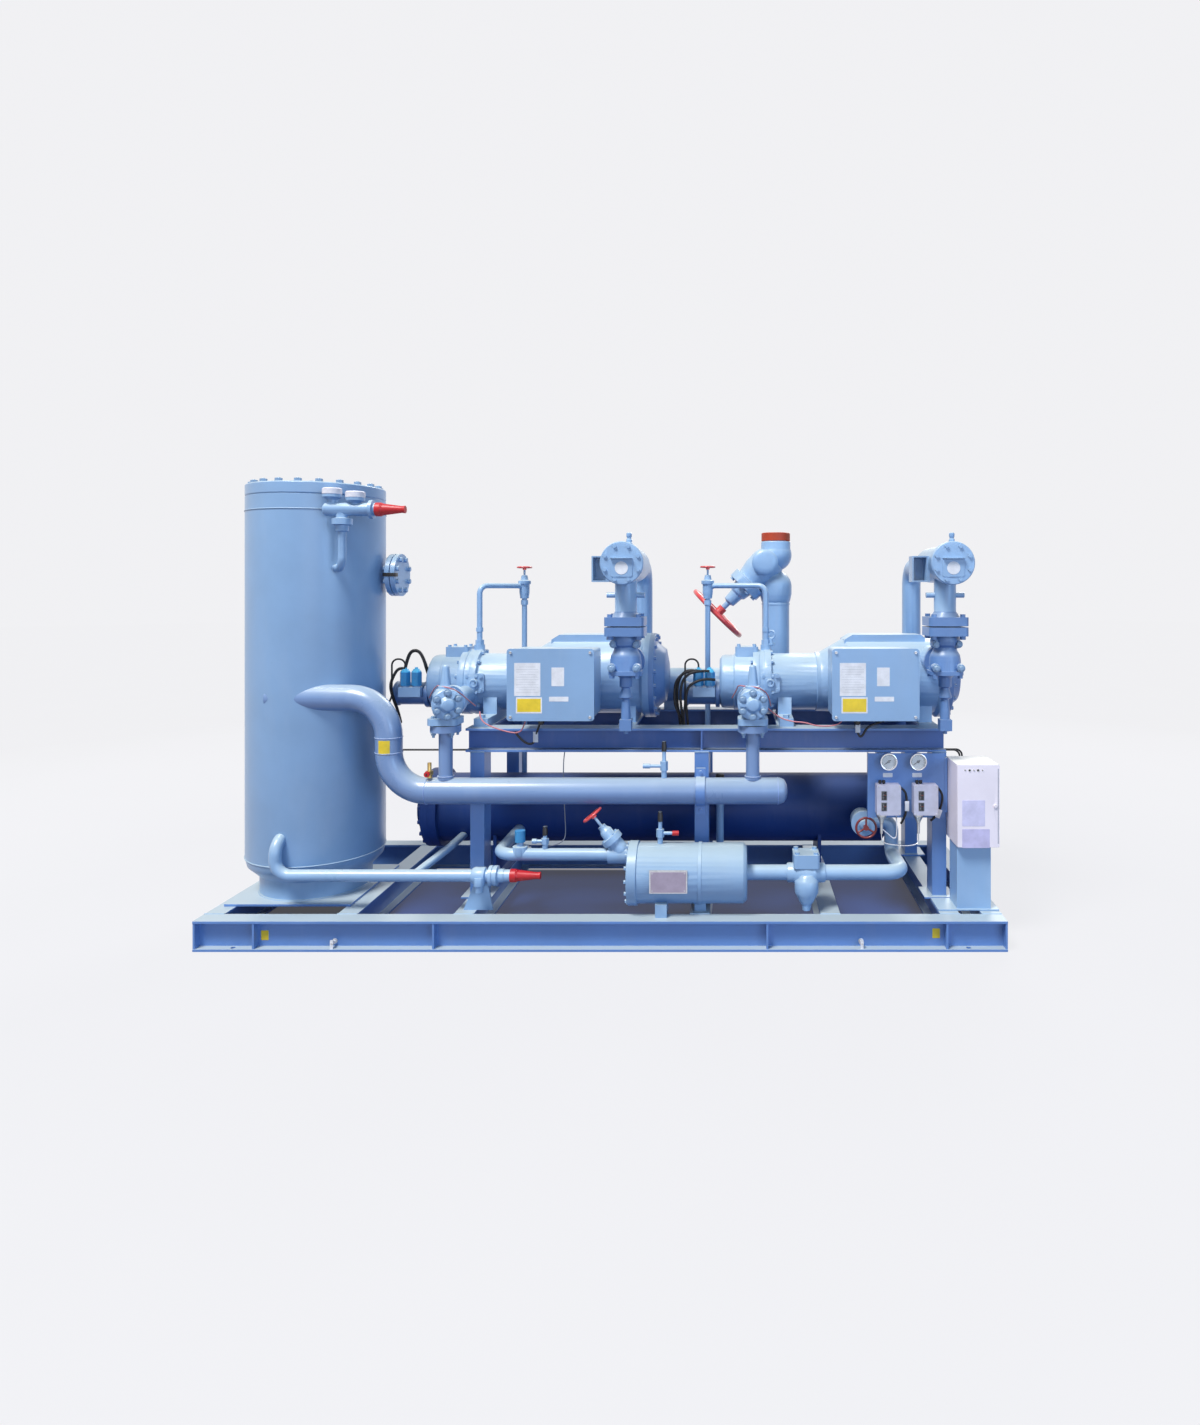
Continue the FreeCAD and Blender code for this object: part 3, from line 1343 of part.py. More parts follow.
def suction_valve(label, base):
    """Stop valve under a strainer, with its bonnet and capped spindle below and square flange above."""
    x, y = base + S.suction_x, S.suction_y
    low, port = S.suction_bottom, S.suction_port_z
    plate = port - 30
    body = turned((x, y, 0), UP, stepped(
        (44, plate - 14), (58, plate - 4), (64, plate), (64, port + 10), (60, port + 34), (50, port + 52),
        (46, port + 66), (58, port + 76), (60, port + 92), (56, S.suction_flange_bottom + 1)))
    bonnet_plate = padded((x, y, plate - 16), Rotation(), round_corners(as_size(136), as_size(136), 40), 16)
    spindle = turned((x, y, 0), UP, stepped(
        (9, low), (9, low + 12), (20, low + 12), (20, low + 66), (20, low + 84), (17, low + 130),
        (15, low + 142), (28, low + 150), (17, low + 188), (26, low + 194), (26, plate - 30), (44, plate - 14)))
    square_end = block((x - 24, y - 24, low + 14), (48, 48, 46))
    side = S.suction_flange_side
    flange = padded((x, y, S.suction_flange_bottom), Rotation(), round_corners(side, side, 18), S.suction_flange)
    neck = rod((x, y, port), BACK, S.suction_port_radius, S.suction_port_radius + 30)
    rim = rod((x, y + S.suction_port_radius + 12, port), BACK, S.suction_port_radius + 18, 18)
    heads = [hexagon((x + dx * 50, y + dy * 50, plate - 16), DOWN, 11, 12) for dx in (-1, 1) for dy in (-1, 1)]
    heads += [hexagon((x + dx * 50, y + dy * 50, plate), UP, 11, 10) for dx in (-1, 1) for dy in (-1, 1)]
    step = side / 2 - 22
    studs = [hexagon((x + dx * step, y + dy * step, S.suction_flange_bottom - 14), UP, 13, 14)
             for dx in (-1, 1) for dy in (-1, 1)]
    node(label, join([body, bonnet_plate, spindle, square_end, flange, neck, rim, *heads, *studs]))


def strainer(label, base):
    """Suction strainer: square flange, riser, cross body with its cover, and the pipe to the header."""
    x, y = base + S.suction_x, S.suction_y
    side = S.suction_flange_side
    bottom = S.suction_flange_bottom + S.suction_flange + S.suction_gasket
    gasket = rod((x, y, bottom - S.suction_gasket), UP, side / 2 - 16, S.suction_gasket)
    z = S.strainer_z
    parts = [padded((x, y, bottom), Rotation(), round_corners(side, side, 18), S.suction_flange)]
    parts.append(turned((x, y, 0), UP, stepped(
        (60, bottom + S.suction_flange - 1), (S.suction_pipe_radius, bottom + S.suction_flange + 22),
        (S.suction_pipe_radius, z - 40))))
    face = S.strainer_front + S.strainer_cover
    parts.append(turned((x, face, z), BACK, stepped(
        (S.strainer_cover_radius, 0), (S.strainer_cover_radius, 20), (S.strainer_radius, 22),
        (S.strainer_radius, S.strainer_back - face), (S.suction_pipe_radius, S.strainer_back - face + 46))))
    cover = turned((x, face, z), FRONT, stepped(
        (S.strainer_cover_radius, 0), (S.strainer_cover_radius, S.strainer_cover - 3),
        (S.strainer_cover_radius - 3, S.strainer_cover)))
    heads = bolt_ring((x, S.strainer_front, z), FRONT, S.strainer_cover_radius - 15, 8, 8, 8)
    top = S.suction_header_z + S.suction_header_radius
    parts += pipe([(x, S.strainer_back + 40, z), (x, S.suction_header_y, z), (x, S.suction_header_y, top - 40)],
                  S.suction_pipe_radius, S.suction_bend)
    parts += [rod((x, y, z - 128), axis, 11, 78) for axis in (LEFT, RIGHT)]
    step = side / 2 - 22
    studs = [hexagon((x + dx * step, y + dy * step, bottom + S.suction_flange), UP, 11, 12)
             for dx in (-1, 1) for dy in (-1, 1)]
    purge_z = z + S.strainer_radius - 6
    parts.append(turned((x + 18, y - 40, purge_z), UP, stepped(
        (14, 0), (14, 14), (12, 16), (12, 28), (9, 31), (9, 38), (11, 39), (11, S.purge_height - 3),
        (8, S.purge_height))))
    frame_x = x - S.strainer_radius - 62
    parts.append(cut(block((frame_x, y - 20, z - 74), (72, 70, 106)),
                     [block((frame_x + 6, y - 30, z - 68), (52, 74, 94))]))
    tool = rod((x - 120, S.suction_header_y, S.suction_header_z), RIGHT, S.suction_header_radius + S.seat, 240)
    node(label, group([cut(join([*parts, *studs]), [tool]), join([cover, *heads]), gasket]))


def suction_header():
    """Header behind the compressors, with its end caps and saddles on the rear beam."""
    y, z, radius = S.suction_header_y, S.suction_header_z, S.suction_header_radius
    left, right = S.suction_header_left, S.suction_header_right
    crown = 44
    parts = [turned((left, y, z), RIGHT, stepped(
        (radius * 0.25, -crown), (radius * 0.72, -crown * 0.72), (radius * 0.95, -crown * 0.35), (radius, 0),
        (radius, right - left), (radius * 0.95, right - left + crown * 0.35),
        (radius * 0.72, right - left + crown * 0.72), (radius * 0.25, right - left + crown)))]
    for x in (left + 240, right - 240):
        parts.append(block((x, y + 20, DECK_TOP), (60, 80, z - DECK_TOP - 30)))
    top = S.inlet_seat_z - S.inlet_valve_drop
    parts.append(rod((S.inlet_x, y, z), UP, S.inlet_radius, top - z))
    for step in (0.3, 0.97):
        parts.append(rod((S.inlet_x, y, z + (top - z) * step), UP, S.inlet_radius + 2.5, 7))
    node("suction_header", join(parts))


VALVE_WAY = Vector(-1, 0, -1).normalize()


def main_suction_valve():
    """Slanted stop valve on the suction riser, with its open inlet on top."""
    x, y = S.inlet_x, S.suction_header_y
    seat = (x, y, S.inlet_seat_z)
    bottom = S.inlet_seat_z - S.inlet_valve_drop
    round_radius = S.inlet_radius + 11
    inlet = turned((x, y, 0), UP, stepped(
        (S.inlet_radius + 5, S.inlet_seat_z), (S.inlet_radius + 5, S.inlet_top - S.inlet_cap_height - 3),
        (S.inlet_radius, S.inlet_top - S.inlet_cap_height + 3), (S.inlet_radius, S.inlet_top)))
    crown = S.inlet_seat_z - S.inlet_valve_crown
    outlet = turned((x, y, 0), UP, stepped(
        (S.inlet_radius, bottom), (S.inlet_radius + 4, bottom + 8), (round_radius, bottom + 40),
        (round_radius, crown)))
    rounds = [primitive("Part::Sphere", (x, y, height), Rotation(), Radius=round_radius)
              for height in (S.inlet_seat_z, crown)]
    bonnet = turned(seat, VALVE_WAY, stepped(
        (38, 0), (76, 30), (84, 60), (82, 120), (70, 176), (88, 180), (88, 224), (50, 228), (44, 262),
        (34, 272), (30, 322), (22, 326), (14, 330), (14, S.inlet_wheel_distance - 40)))
    boss = turned((x - 55, y, S.inlet_seat_z - 38), FRONT, stepped((62, 0), (62, 96), (50, 104), (30, 108)))
    heads = bolt_ring(shift(seat, VALVE_WAY, 224), VALVE_WAY, 74, 8, 11, 11)
    bore = rod((x, y, S.inlet_seat_z + 10), UP, S.inlet_radius - S.inlet_wall, S.inlet_top)
    node("main_suction_valve", cut(join([inlet, outlet, *rounds, bonnet, boss, *heads]), [bore]))


def suction_handwheel():
    """Large red handwheel of the suction stop valve."""
    centre = shift((S.inlet_x, S.suction_header_y, S.inlet_seat_z), VALVE_WAY, S.inlet_wheel_distance)
    node("suction_handwheel", handwheel(centre, VALVE_WAY, S.inlet_wheel_radius, S.inlet_wheel_rim, 22,
                                        40 - S.seat, 4))


def inlet_cap():
    """Orange cap over the open inlet."""
    radius = S.inlet_radius + S.seat
    outline = [(radius, 0), (radius + 3, 0), (radius + 3, S.inlet_cap_height - 3), (radius, S.inlet_cap_height),
               (0, S.inlet_cap_height), (0, S.inlet_cap_height - 3), (radius, S.inlet_cap_height - 3)]
    at = (S.inlet_x, S.suction_header_y, S.inlet_top - S.inlet_cap_height + 3 + S.seat)
    node("inlet_cap", turned(at, UP, outline))


# Economizer lines

def eco_spots(index):
    """Where one economizer line leaves its compressor along X, and the X and Y of its riser."""
    if index == 1:
        return S.eco_port_x, S.eco_port_x + S.eco_riser_step, S.eco_riser_y
    port = S.compressor_spacing + S.eco_port_x
    return port, port + S.eco_second_step, S.eco_second_y


def economizer_lines():
    """Lines from each compressor's port to its valve and down to the vessel."""
    parts = []
    for index in (1, 2):
        port, riser, back = eco_spots(index)
        low = S.housing_z + S.housing_radius + 40
        route = [(port, S.housing_y, low), (port, S.housing_y, S.eco_top), (riser, back, S.eco_top),
                 (riser, back, S.vessel_z)]
        runs = pipe(route, S.eco_radius, S.eco_bend)
        union = [hexagon((port, S.housing_y, low), UP, 20, 22), rod((port, S.housing_y, low + 60), UP, 16, 18),
                 rod((riser, back, S.eco_top - 90), UP, 17, 22)]
        valve = turned((riser, back, S.eco_top), UP, stepped(
            (20, -60), (24, -30), (24, 6), (30, 8), (30, 24), (18, 28), (14, 50), (5, 52),
            (5, S.eco_wheel_z - S.eco_top - 12)))
        tool = rod((riser - 60, S.vessel_y, S.vessel_z), RIGHT, S.vessel_radius + S.seat, 120)
        parts.append(cut(join([*runs, *union, valve]), [tool]))
    node("economizer_lines", group(parts))


def eco_handwheel(index):
    """Small red handwheel on an economizer valve."""
    _, riser, back = eco_spots(index)
    centre = (riser, back, S.eco_wheel_z)
    node(f"eco_handwheel_{index}", handwheel(centre, UP, S.eco_wheel_radius, S.eco_wheel_rim, 9, 12 - S.seat, 3))


# Oil cooler vessel

def oil_cooler_vessel():
    """Horizontal vessel with a bolted tube cover on the left and a dished end on the right."""
    radius, wall = S.vessel_radius, S.vessel_wall
    left, right = S.vessel_left + S.vessel_cover * 2, S.vessel_right - S.vessel_crown
    long = right - left
    outline = [
        (0, long + S.vessel_crown - wall), (radius * 0.6, long + S.vessel_crown * 0.75 - wall),
        (radius - wall, long),
        (radius - wall, 0), (S.vessel_cover_radius, 0), (S.vessel_cover_radius, S.vessel_cover),
        (radius, S.vessel_cover), (radius, long), (radius * 0.62, long + S.vessel_crown * 0.76),
        (0, long + S.vessel_crown)]
    shell = turned((left, S.vessel_y, S.vessel_z), RIGHT, outline)
    cover = turned((left, S.vessel_y, S.vessel_z), LEFT, stepped(
        (S.vessel_cover_radius, 0), (S.vessel_cover_radius, S.vessel_cover - 4),
        (S.vessel_cover_radius - 4, S.vessel_cover), (radius * 0.72, S.vessel_cover),
        (radius * 0.66, S.vessel_cover * 2)))
    heads = bolt_ring((left - S.vessel_cover, S.vessel_y, S.vessel_z), LEFT, S.vessel_cover_radius - 16, 16, 10, 12)
    saddles = []
    for x in (S.cross_member_2, S.cross_member_4):
        front = S.vessel_y - S.saddle_depth / 2
        web = block((x - 8, front, BASE_TOP), (16, S.saddle_depth, S.vessel_z - BASE_TOP - 60))
        foot = block((x - S.base_flange_width / 2, front, BASE_TOP), (S.base_flange_width, S.saddle_depth, 10))
        hollow = rod((x - 60, S.vessel_y, S.vessel_z), RIGHT, radius + S.seat, 120)
        saddles.append(cut(join([web, foot]), [hollow]))
    node("oil_cooler_vessel", group([shell, cover, *heads, *saddles]))


# Filter and its lines

def filter_shell():
    """Filter body with its nameplate pad and legs."""
    x, y, z, radius = S.filter_left, S.filter_y, S.filter_z, S.filter_radius
    long = S.filter_right - x
    outline = [
        (0, long - S.filter_wall), (radius - S.filter_wall, long - S.filter_crown), (radius - S.filter_wall, 0),
        (radius + 8, 0), (radius + 8, 18), (radius, 20), (radius, long - S.filter_crown), (radius - 10, long - 4),
        (radius - 16, long), (0, long)]
    body = turned((x, y, z), RIGHT, outline)
    plate = block((x + 74, y - radius - 3, z - 42), (150, 24, 86))
    room = rod((x + 1, y, z), RIGHT, radius - S.filter_wall, long - S.filter_crown - 2)
    front_foot = S.base_flange_width - BASE_BACK - S.filter_foot
    leg, high = S.filter_leg, z - radius * 0.8 - BASE_TOP
    legs = [block((x + S.filter_first_leg, front_foot, BASE_TOP), (leg, y - front_foot, high)),
            block((S.cross_member_3 - leg / 2, y - S.filter_foot / 2, BASE_TOP), (leg, S.filter_foot, high))]
    node("filter_shell", cut(join([body, plate, *legs]), [room]))


def filter_cover():
    """Bolted cover on the left end of the filter."""
    at = (S.filter_left, S.filter_y, S.filter_z)
    rim, thick = S.filter_radius + 8, S.filter_cover
    cover = turned(at, LEFT, stepped((rim, 0), (rim, thick - 3), (rim - 3, thick)))
    heads = bolt_ring(shift(at, LEFT, thick), LEFT, rim - 11, S.filter_bolt_count, S.filter_bolt_size,
                      S.filter_bolt_height, start=0)
    tool = rod((S.filter_valve_x - 60, S.filter_y, S.liquid_z), RIGHT, S.filter_valve_radius + S.seat, 200)
    node("filter_cover", cut(join([cover, *heads]), [tool]))


def filter_valve_way():
    tilt = math.radians(S.filter_valve_tilt.number)
    return Vector(-math.sin(tilt), 0, math.cos(tilt))


def filter_valve():
    """Slanted inlet valve of the filter."""
    seat = (S.filter_valve_x, S.filter_y, S.liquid_z)
    way = filter_valve_way()
    bonnet = turned(seat, way, stepped(
        (30, 0), (34, 24), (32, 68), (44, 70), (44, 94), (26, 96), (26, 122), (17, 136), (16, 150), (6, 152),
        (6, S.filter_wheel_distance - 14)))
    left = S.filter_valve_x - S.filter_valve_reach
    through = rod((left, S.filter_y, S.liquid_z), RIGHT, S.filter_valve_radius, S.filter_left - left - S.seat)
    heads = bolt_ring(shift(seat, way, 94), way, 36, 4, 6, 7)
    node("filter_valve", join([bonnet, through, *heads]))


def filter_handwheel():
    """Red handwheel of the filter's inlet valve."""
    way = filter_valve_way()
    centre = shift((S.filter_valve_x, S.filter_y, S.liquid_z), way, S.filter_wheel_distance)
    node("filter_handwheel", handwheel(centre, way, S.filter_wheel_radius, S.filter_wheel_rim, 11, 14 - S.seat, 3))


def liquid_lines():
    """Lines between the vessel and the filter, with the solenoid, the check valve and the vessel's valve."""
    y, z, radius = S.filter_y, S.liquid_z, S.liquid_radius
    inlet = pipe([(S.liquid_left, S.vessel_y, z), (S.liquid_left, y, z),
                  (S.filter_valve_x - S.filter_valve_reach, y, z)], radius, S.liquid_bend)
    coil_x = S.liquid_left + 94
    inlet.append(turned((coil_x, y, z), UP, stepped(
        (30, 0), (30, 34), (14, 36), (14, 52), (21, 52), (21, 98), (8, 100))))
    shell = rod((S.liquid_left - 80, S.vessel_y, S.vessel_z), RIGHT, S.vessel_radius + S.seat, 160)
    first = cut(join(inlet), [shell])
    z, radius = S.outlet_line_z, S.outlet_line_radius
    right, back = S.outlet_line_right, S.outlet_line_back
    valve_x, valve_z = S.vessel_valve_x, S.vessel_valve_z
    outlet = pipe([(S.filter_right, y, z), (right, y, z), (right, back, z), (right, back, valve_z),
                   (valve_x + 20, back, valve_z)], radius, [S.liquid_bend, S.tight_bend, S.tight_bend])
    ball_x = S.ball_valve_x
    outlet.append(turned((ball_x - 78, y, z), RIGHT, stepped(
        (radius + 5, 0), (radius + 8, 6), (radius + 8, 24), (52, 44), (56, 78), (52, 112), (radius + 8, 132),
        (radius + 8, 150), (radius + 5, 156))))
    outlet.append(padded((ball_x, y, z + 30), Rotation(), round_corners(as_size(106), as_size(106), 14), 54))
    outlet += [hexagon((ball_x + dx * 38, y + dy * 38, z + 84), UP, 10, 10) for dx in (-1, 1) for dy in (-1, 1)]
    outlet.append(turned((ball_x, y - 34, 0), UP, stepped(
        (16, BASE_TOP + 8), (20, BASE_TOP + 30), (30, BASE_TOP + 44), (48, z - 66), (48, z - 24), (30, z + 4))))
    valve = turned((valve_x, back, valve_z), FRONT, stepped(
        (36, -50), (48, -38), (48, 36), (54, 38), (54, 54), (24, 58), (20, 82), (6, 84),
        (6, back - S.vessel_wheel_y - 14)))
    port = rod((valve_x, back + 11, valve_z), BACK, 28, 129)
    shell = rod((valve_x - 80, S.vessel_y, S.vessel_z), RIGHT, S.vessel_radius + S.seat, 160)
    node("liquid_lines", group([first, cut(weld([*outlet, valve, port]), [shell])]))


def vessel_handwheel():
    """Dark red handwheel of the vessel's valve."""
    centre = (S.vessel_valve_x, S.vessel_wheel_y, S.vessel_valve_z)
    node("vessel_handwheel", handwheel(centre, FRONT, S.vessel_wheel_radius, S.vessel_wheel_rim, 11, 14 - S.seat, 3))


# Oil line

def oil_line():
    """Oil line from the separator's foot to its stop valve, with the stand under the valve."""
    y, z, radius = S.oil_y, S.oil_z, S.oil_radius
    route = [(S.oil_x, S.separator_y, S.oil_top), (S.oil_x, y, S.oil_top), (S.oil_x, y, z),
             (S.oil_pipe_end + 12, y, z)]
    parts = pipe(route, radius, S.oil_bend)
    valve_x = S.oil_valve_x
    parts.append(turned((valve_x - 70, y, z), RIGHT, stepped(
        (radius + 4, 0), (34, 10), (34, 54), (24, 58), (24, 68), (40, 70), (40, 84), (37, 84), (37, 90), (40, 90),
        (40, 104), (27, 108), (27, 130))))
    parts.append(turned((valve_x - 36, y - 20, z), DOWN, stepped((22, 0), (22, 34), (16, 38), (16, 60), (8, 64))))
    branch_x = S.separator_x + S.oil_branch
    parts += pipe([(branch_x, y, z), (branch_x + 70, S.separator_y - 60, z + 44),
                   (branch_x + 70, S.vessel_y - 100, z + 44)], as_size(17), as_size(40))
    stand = padded((valve_x - 62, y + 30, BASE_TOP), Rotation(RIGHT, UP, FRONT, "ZXY"),
                   [(-50, 0), (70, 0), (44, z - BASE_TOP - 12), (6, z - BASE_TOP - 12)], 12)
    tool = rod((S.separator_x, S.separator_y, S.oil_top - 90), UP, S.separator_radius + S.seat, 180)
    shell = rod((branch_x - 80, S.vessel_y, S.vessel_z), RIGHT, S.vessel_radius + S.seat, 260)
    node("oil_line", cut(weld([*parts, stand]), [tool, shell]))


def oil_cap():
    """Red protective cap on the open oil pipe."""
    node("oil_cap", turned((S.oil_pipe_end, S.oil_y, S.oil_z), RIGHT, cap_outline(S.oil_radius, S.oil_cap_length)))


# Instruments and cabinet

def instrument_panel():
    """Folded plate between the deck and the right post, with gauge holes."""
    top = S.deck_bottom - S.seat
    wide, high = S.panel_right - S.panel_left, top - S.panel_bottom
    at = (S.panel_left, S.panel_y, S.panel_bottom)
    plate = block(at, (wide, S.panel_thickness, high))
    fold = block(at, (S.panel_thickness, S.panel_fold, high))
    arm_y = S.panel_y + S.panel_thickness
    arm = block((S.cross_member_5 - 30, arm_y, S.panel_bottom + 20), (60, S.deck_front - arm_y, high - 40))
    hang = block((S.panel_left + 40, arm_y, top - 8), (60, S.deck_front - arm_y + 40, 8))
    holes = [rod((x, S.panel_y - 1, S.gauge_z), BACK, 12, S.panel_thickness + 2)
             for x in (S.gauge_1_x, S.gauge_2_x)]
    node("instrument_panel", cut(join([plate, fold, arm, hang]), holes))


def gauge_case(x):
    """Gauge case with a raised bezel round a sunk dial."""
    radius, deep = S.gauge_radius, S.gauge_depth
    case = turned((x, S.panel_y, S.gauge_z), FRONT, [
        (0, 0), (radius, 0), (radius, deep), (radius - 4, deep), (radius - 4, deep - 8), (0, deep - 8)])
    pin = rod((x, S.panel_y - deep + 8, S.gauge_z), FRONT, 2, 4)
    stem = rod((x, S.panel_y, S.gauge_z), BACK, 10, 20)
    return join([case, pin, stem])


def gauges():
    """Suction and discharge pressure gauges."""
    node("gauges", group([gauge_case(x) for x in (S.gauge_1_x, S.gauge_2_x)]))


def gauge_needle(index, x):
    """Pointer on a gauge, at rest towards the low end of the dial."""
    at = (x, S.panel_y - S.gauge_depth + 8 - S.seat * 2, S.gauge_z)
    turn = Rotation(RIGHT, UP, FRONT, "ZXY").multiply(Rotation(UP, 35))
    hub = cut(rod(at, FRONT, 5, 1.6), [rod(at, FRONT, 2 + S.running_fit, 1.6)])
    hand = padded(at, turn, [(-S.needle_length, -0.6), (-3, -1.8), (-3, 1.8), (-S.needle_length, 0.6)], 1.4)
    tail = padded(at, turn, [(3, -1.8), (10, -1.8), (10, 1.8), (3, 1.8)], 1.4)
    node(f"gauge_needle_{index}", join([hub, hand, tail]))


def pressure_controls():
    """Two pressure switches with setting screws on top and a bellows with its tube end below."""
    parts = []
    for x in (S.control_1_x, S.control_2_x):
        wide, high, deep = S.control_width, S.control_height, S.control_depth
        turn = Rotation(RIGHT, UP, FRONT, "ZXY")
        case = padded((x, S.panel_y, S.control_bottom + high / 2), turn, round_corners(wide, high, 5), deep)
        knobs = [turned((x + dx, S.panel_y - deep / 2, S.control_bottom + high), UP, stepped(
            (4, 0), (4, 4), (7, 4), (7, 14), (5, 16))) for dx in (-33, -18)]
        bellows = [turned((x + dx, S.panel_y - deep / 2, S.control_bottom), DOWN, stepped(
            (22, 0), (22, 5), (9, 30), (8, 36), (6, 38), (6, 81))) for dx in (-27,)]
        parts.append(join([case, *knobs, *bellows]))
    node("pressure_controls", group(parts))


CABINET_FRONT = S.cabinet_from_front - BASE_BACK


def control_cabinet():
    """Cabinet on its column at the right end of the base."""
    wide, high, deep = S.cabinet_width, S.cabinet_height, S.cabinet_depth
    wall = S.cabinet_wall
    front = CABINET_FRONT + S.door_thickness + S.door_gap
    shell = block((S.cabinet_left, front, S.cabinet_bottom), (wide, deep - S.door_thickness - S.door_gap, high))
    room = block((S.cabinet_left + wall, front - 1, S.cabinet_bottom + wall),
                 (wide - wall * 2, deep - S.door_thickness - S.door_gap - wall, high - wall * 2))
    foot_z = BASE_TOP + 6
    column = S.column_from_front - BASE_BACK
    outer = block((S.column_left, column, foot_z), (S.column_width, S.column_depth, S.cabinet_bottom - foot_z))
    inner = block((S.column_left + S.column_wall, column + S.column_wall, foot_z),
                  (S.column_width - S.column_wall * 2, S.column_depth - S.column_wall * 2,
                   S.cabinet_bottom - foot_z))
    foot_left = S.cross_member_5 - S.base_flange_width / 2
    foot = block((foot_left, column - 8, BASE_TOP), (BASE_RIGHT - foot_left, S.column_depth + 13, 6))
    node("control_cabinet", group([cut(shell, [room]), join([cut(outer, [inner]), foot])]))


def cabinet_door():
    """Hinged front of the cabinet."""
    wide, high, thick = S.cabinet_width, S.cabinet_height, S.door_thickness
    turn = Rotation(RIGHT, UP, FRONT, "ZXY")
    middle = (S.cabinet_left + wide / 2, CABINET_FRONT + thick, S.cabinet_bottom + high / 2)
    panel = padded(middle, turn, round_corners(wide, high, 6), thick)
    room = padded(middle, turn, round_corners(wide - 8, high - 8, 4), thick - 3)
    lock = rod((S.cabinet_left + wide - 18, CABINET_FRONT, middle[2]), FRONT, 7, 5)
    node("cabinet_door", join([cut(panel, [room]), lock]))


def control_cables():
    """Leads from the solenoids along the deck to the cabinet, and from the pressure controls to the cabinet."""
    radius, bend = S.cable_radius, S.cable_bend
    tray_y = S.deck_front + S.deck_section + 20
    tray_z = S.deck_bottom - 12
    cabinet_back = CABINET_FRONT + S.cabinet_depth + S.seat
    entry_z = S.cabinet_bottom + S.cabinet_height * 0.7
    end_x = S.cabinet_left + S.cabinet_width / 2
    leads = []
    for index, base in enumerate((as_size(0), S.compressor_spacing)):
        x = base + S.coil_x - S.coil_pitch / 2
        y = S.slide_y - (S.piston_radius + S.slide_play + S.cylinder_wall) * 0.8 - S.coil_block_depth / 2
        z = S.slide_z + S.coil_block_top + COIL_TOP + S.seat
        lane_y, lane_z = tray_y + index * 14, tray_z
        leads.append(weld(pipe([(x, y, z), (x, y, z + 36), (x - 60, y, z + 36), (x - 60, y, z - 130),
                                (x - 60, lane_y, z - 200), (x - 60, lane_y, lane_z),
                                (end_x + index * 14, lane_y, lane_z),
                                (end_x + index * 14, lane_y, entry_z - index * 14),
                                (end_x + index * 14, cabinet_back, entry_z - index * 14)], radius, bend)))
    node("control_cables", group(leads))


# Assembly

def build():
    """Make every sub-part."""
    base_side_beam("base_front_beam", -1)
    base_side_beam("base_rear_beam", 1)
    base_cross_members()
    portal("front_portal", S.deck_front, False)
    portal("rear_portal", S.deck_back - S.deck_section, True)
    separator_shell()
    separator_cover()
    separator_cover_bolts()
    coalescer_element()
    separator_outlet()
    relief_valves()
    relief_cap()
    discharge_header()
    header_bracket()
    service_valves()
    turns = (S.discharge_turn_1, S.discharge_turn_2)
    for index, base in ((1, as_size(0)), (2, S.compressor_spacing)):
        discharge_valve(f"discharge_valve_{index}", DISCHARGE_X[index - 1], turns[index - 1])
        rotor_housing(f"rotor_housing_{index}", base, DISCHARGE_X[index - 1])
        motor_housing(f"motor_housing_{index}", base)
        male_rotor(f"male_rotor_{index}", base)
        female_rotor(f"female_rotor_{index}", base)
        slide_valve(f"slide_valve_{index}", base)
        suction_valve(f"suction_valve_{index}", base)
        strainer(f"strainer_{index}", base)
        eco_handwheel(index)
    end_covers()
    slide_cylinders()
    motor_stators()
    terminal_boxes()
    solenoid_coils()
    suction_header()
    main_suction_valve()
    suction_handwheel()
    inlet_cap()
    economizer_lines()
    oil_cooler_vessel()
    filter_shell()
    filter_cover()
    filter_valve()
    filter_handwheel()
    liquid_lines()
    vessel_handwheel()
    oil_line()
    oil_cap()
    instrument_panel()
    gauges()
    gauge_needle(1, S.gauge_1_x)
    gauge_needle(2, S.gauge_2_x)
    pressure_controls()
    control_cabinet()
    cabinet_door()
    control_cables()


def check():
    """Stop if any object failed or any sub-part has no sound shape."""
    failed = [obj for obj in DOC.Objects if {"Invalid", "Error"} & set(obj.State)]
    if failed:
        users = {obj.Name: sorted({user.Label for user in obj.InListRecursive if user in NODES}) for obj in failed}
        raise RuntimeError(f"Failed objects and the sub-parts that use them: {users}")
    unsound = [obj.Label for obj in NODES if obj.Shape.isNull() or not obj.Shape.isValid()]
    if unsound:
        raise RuntimeError(f"Sub-parts with no sound shape: {unsound}")


def export():
    os.makedirs("parts", exist_ok=True)
    for obj in NODES:
        obj.Shape.exportStep(f"parts/{obj.Label}.step")


build()
DOC.recompute()
check()
export()
print(len(NODES), "sub-parts,", sum(len(obj.Shape.Solids) for obj in NODES), "solids")
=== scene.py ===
"""Looks of the screw compressor unit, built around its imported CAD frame. Lengths are in metres."""
from __future__ import annotations

import json
import logging
import math
from dataclasses import dataclass
from enum import Enum
from typing import Any, Iterable, Mapping, Sequence

import bmesh
import bpy
from mathutils import Matrix, Vector

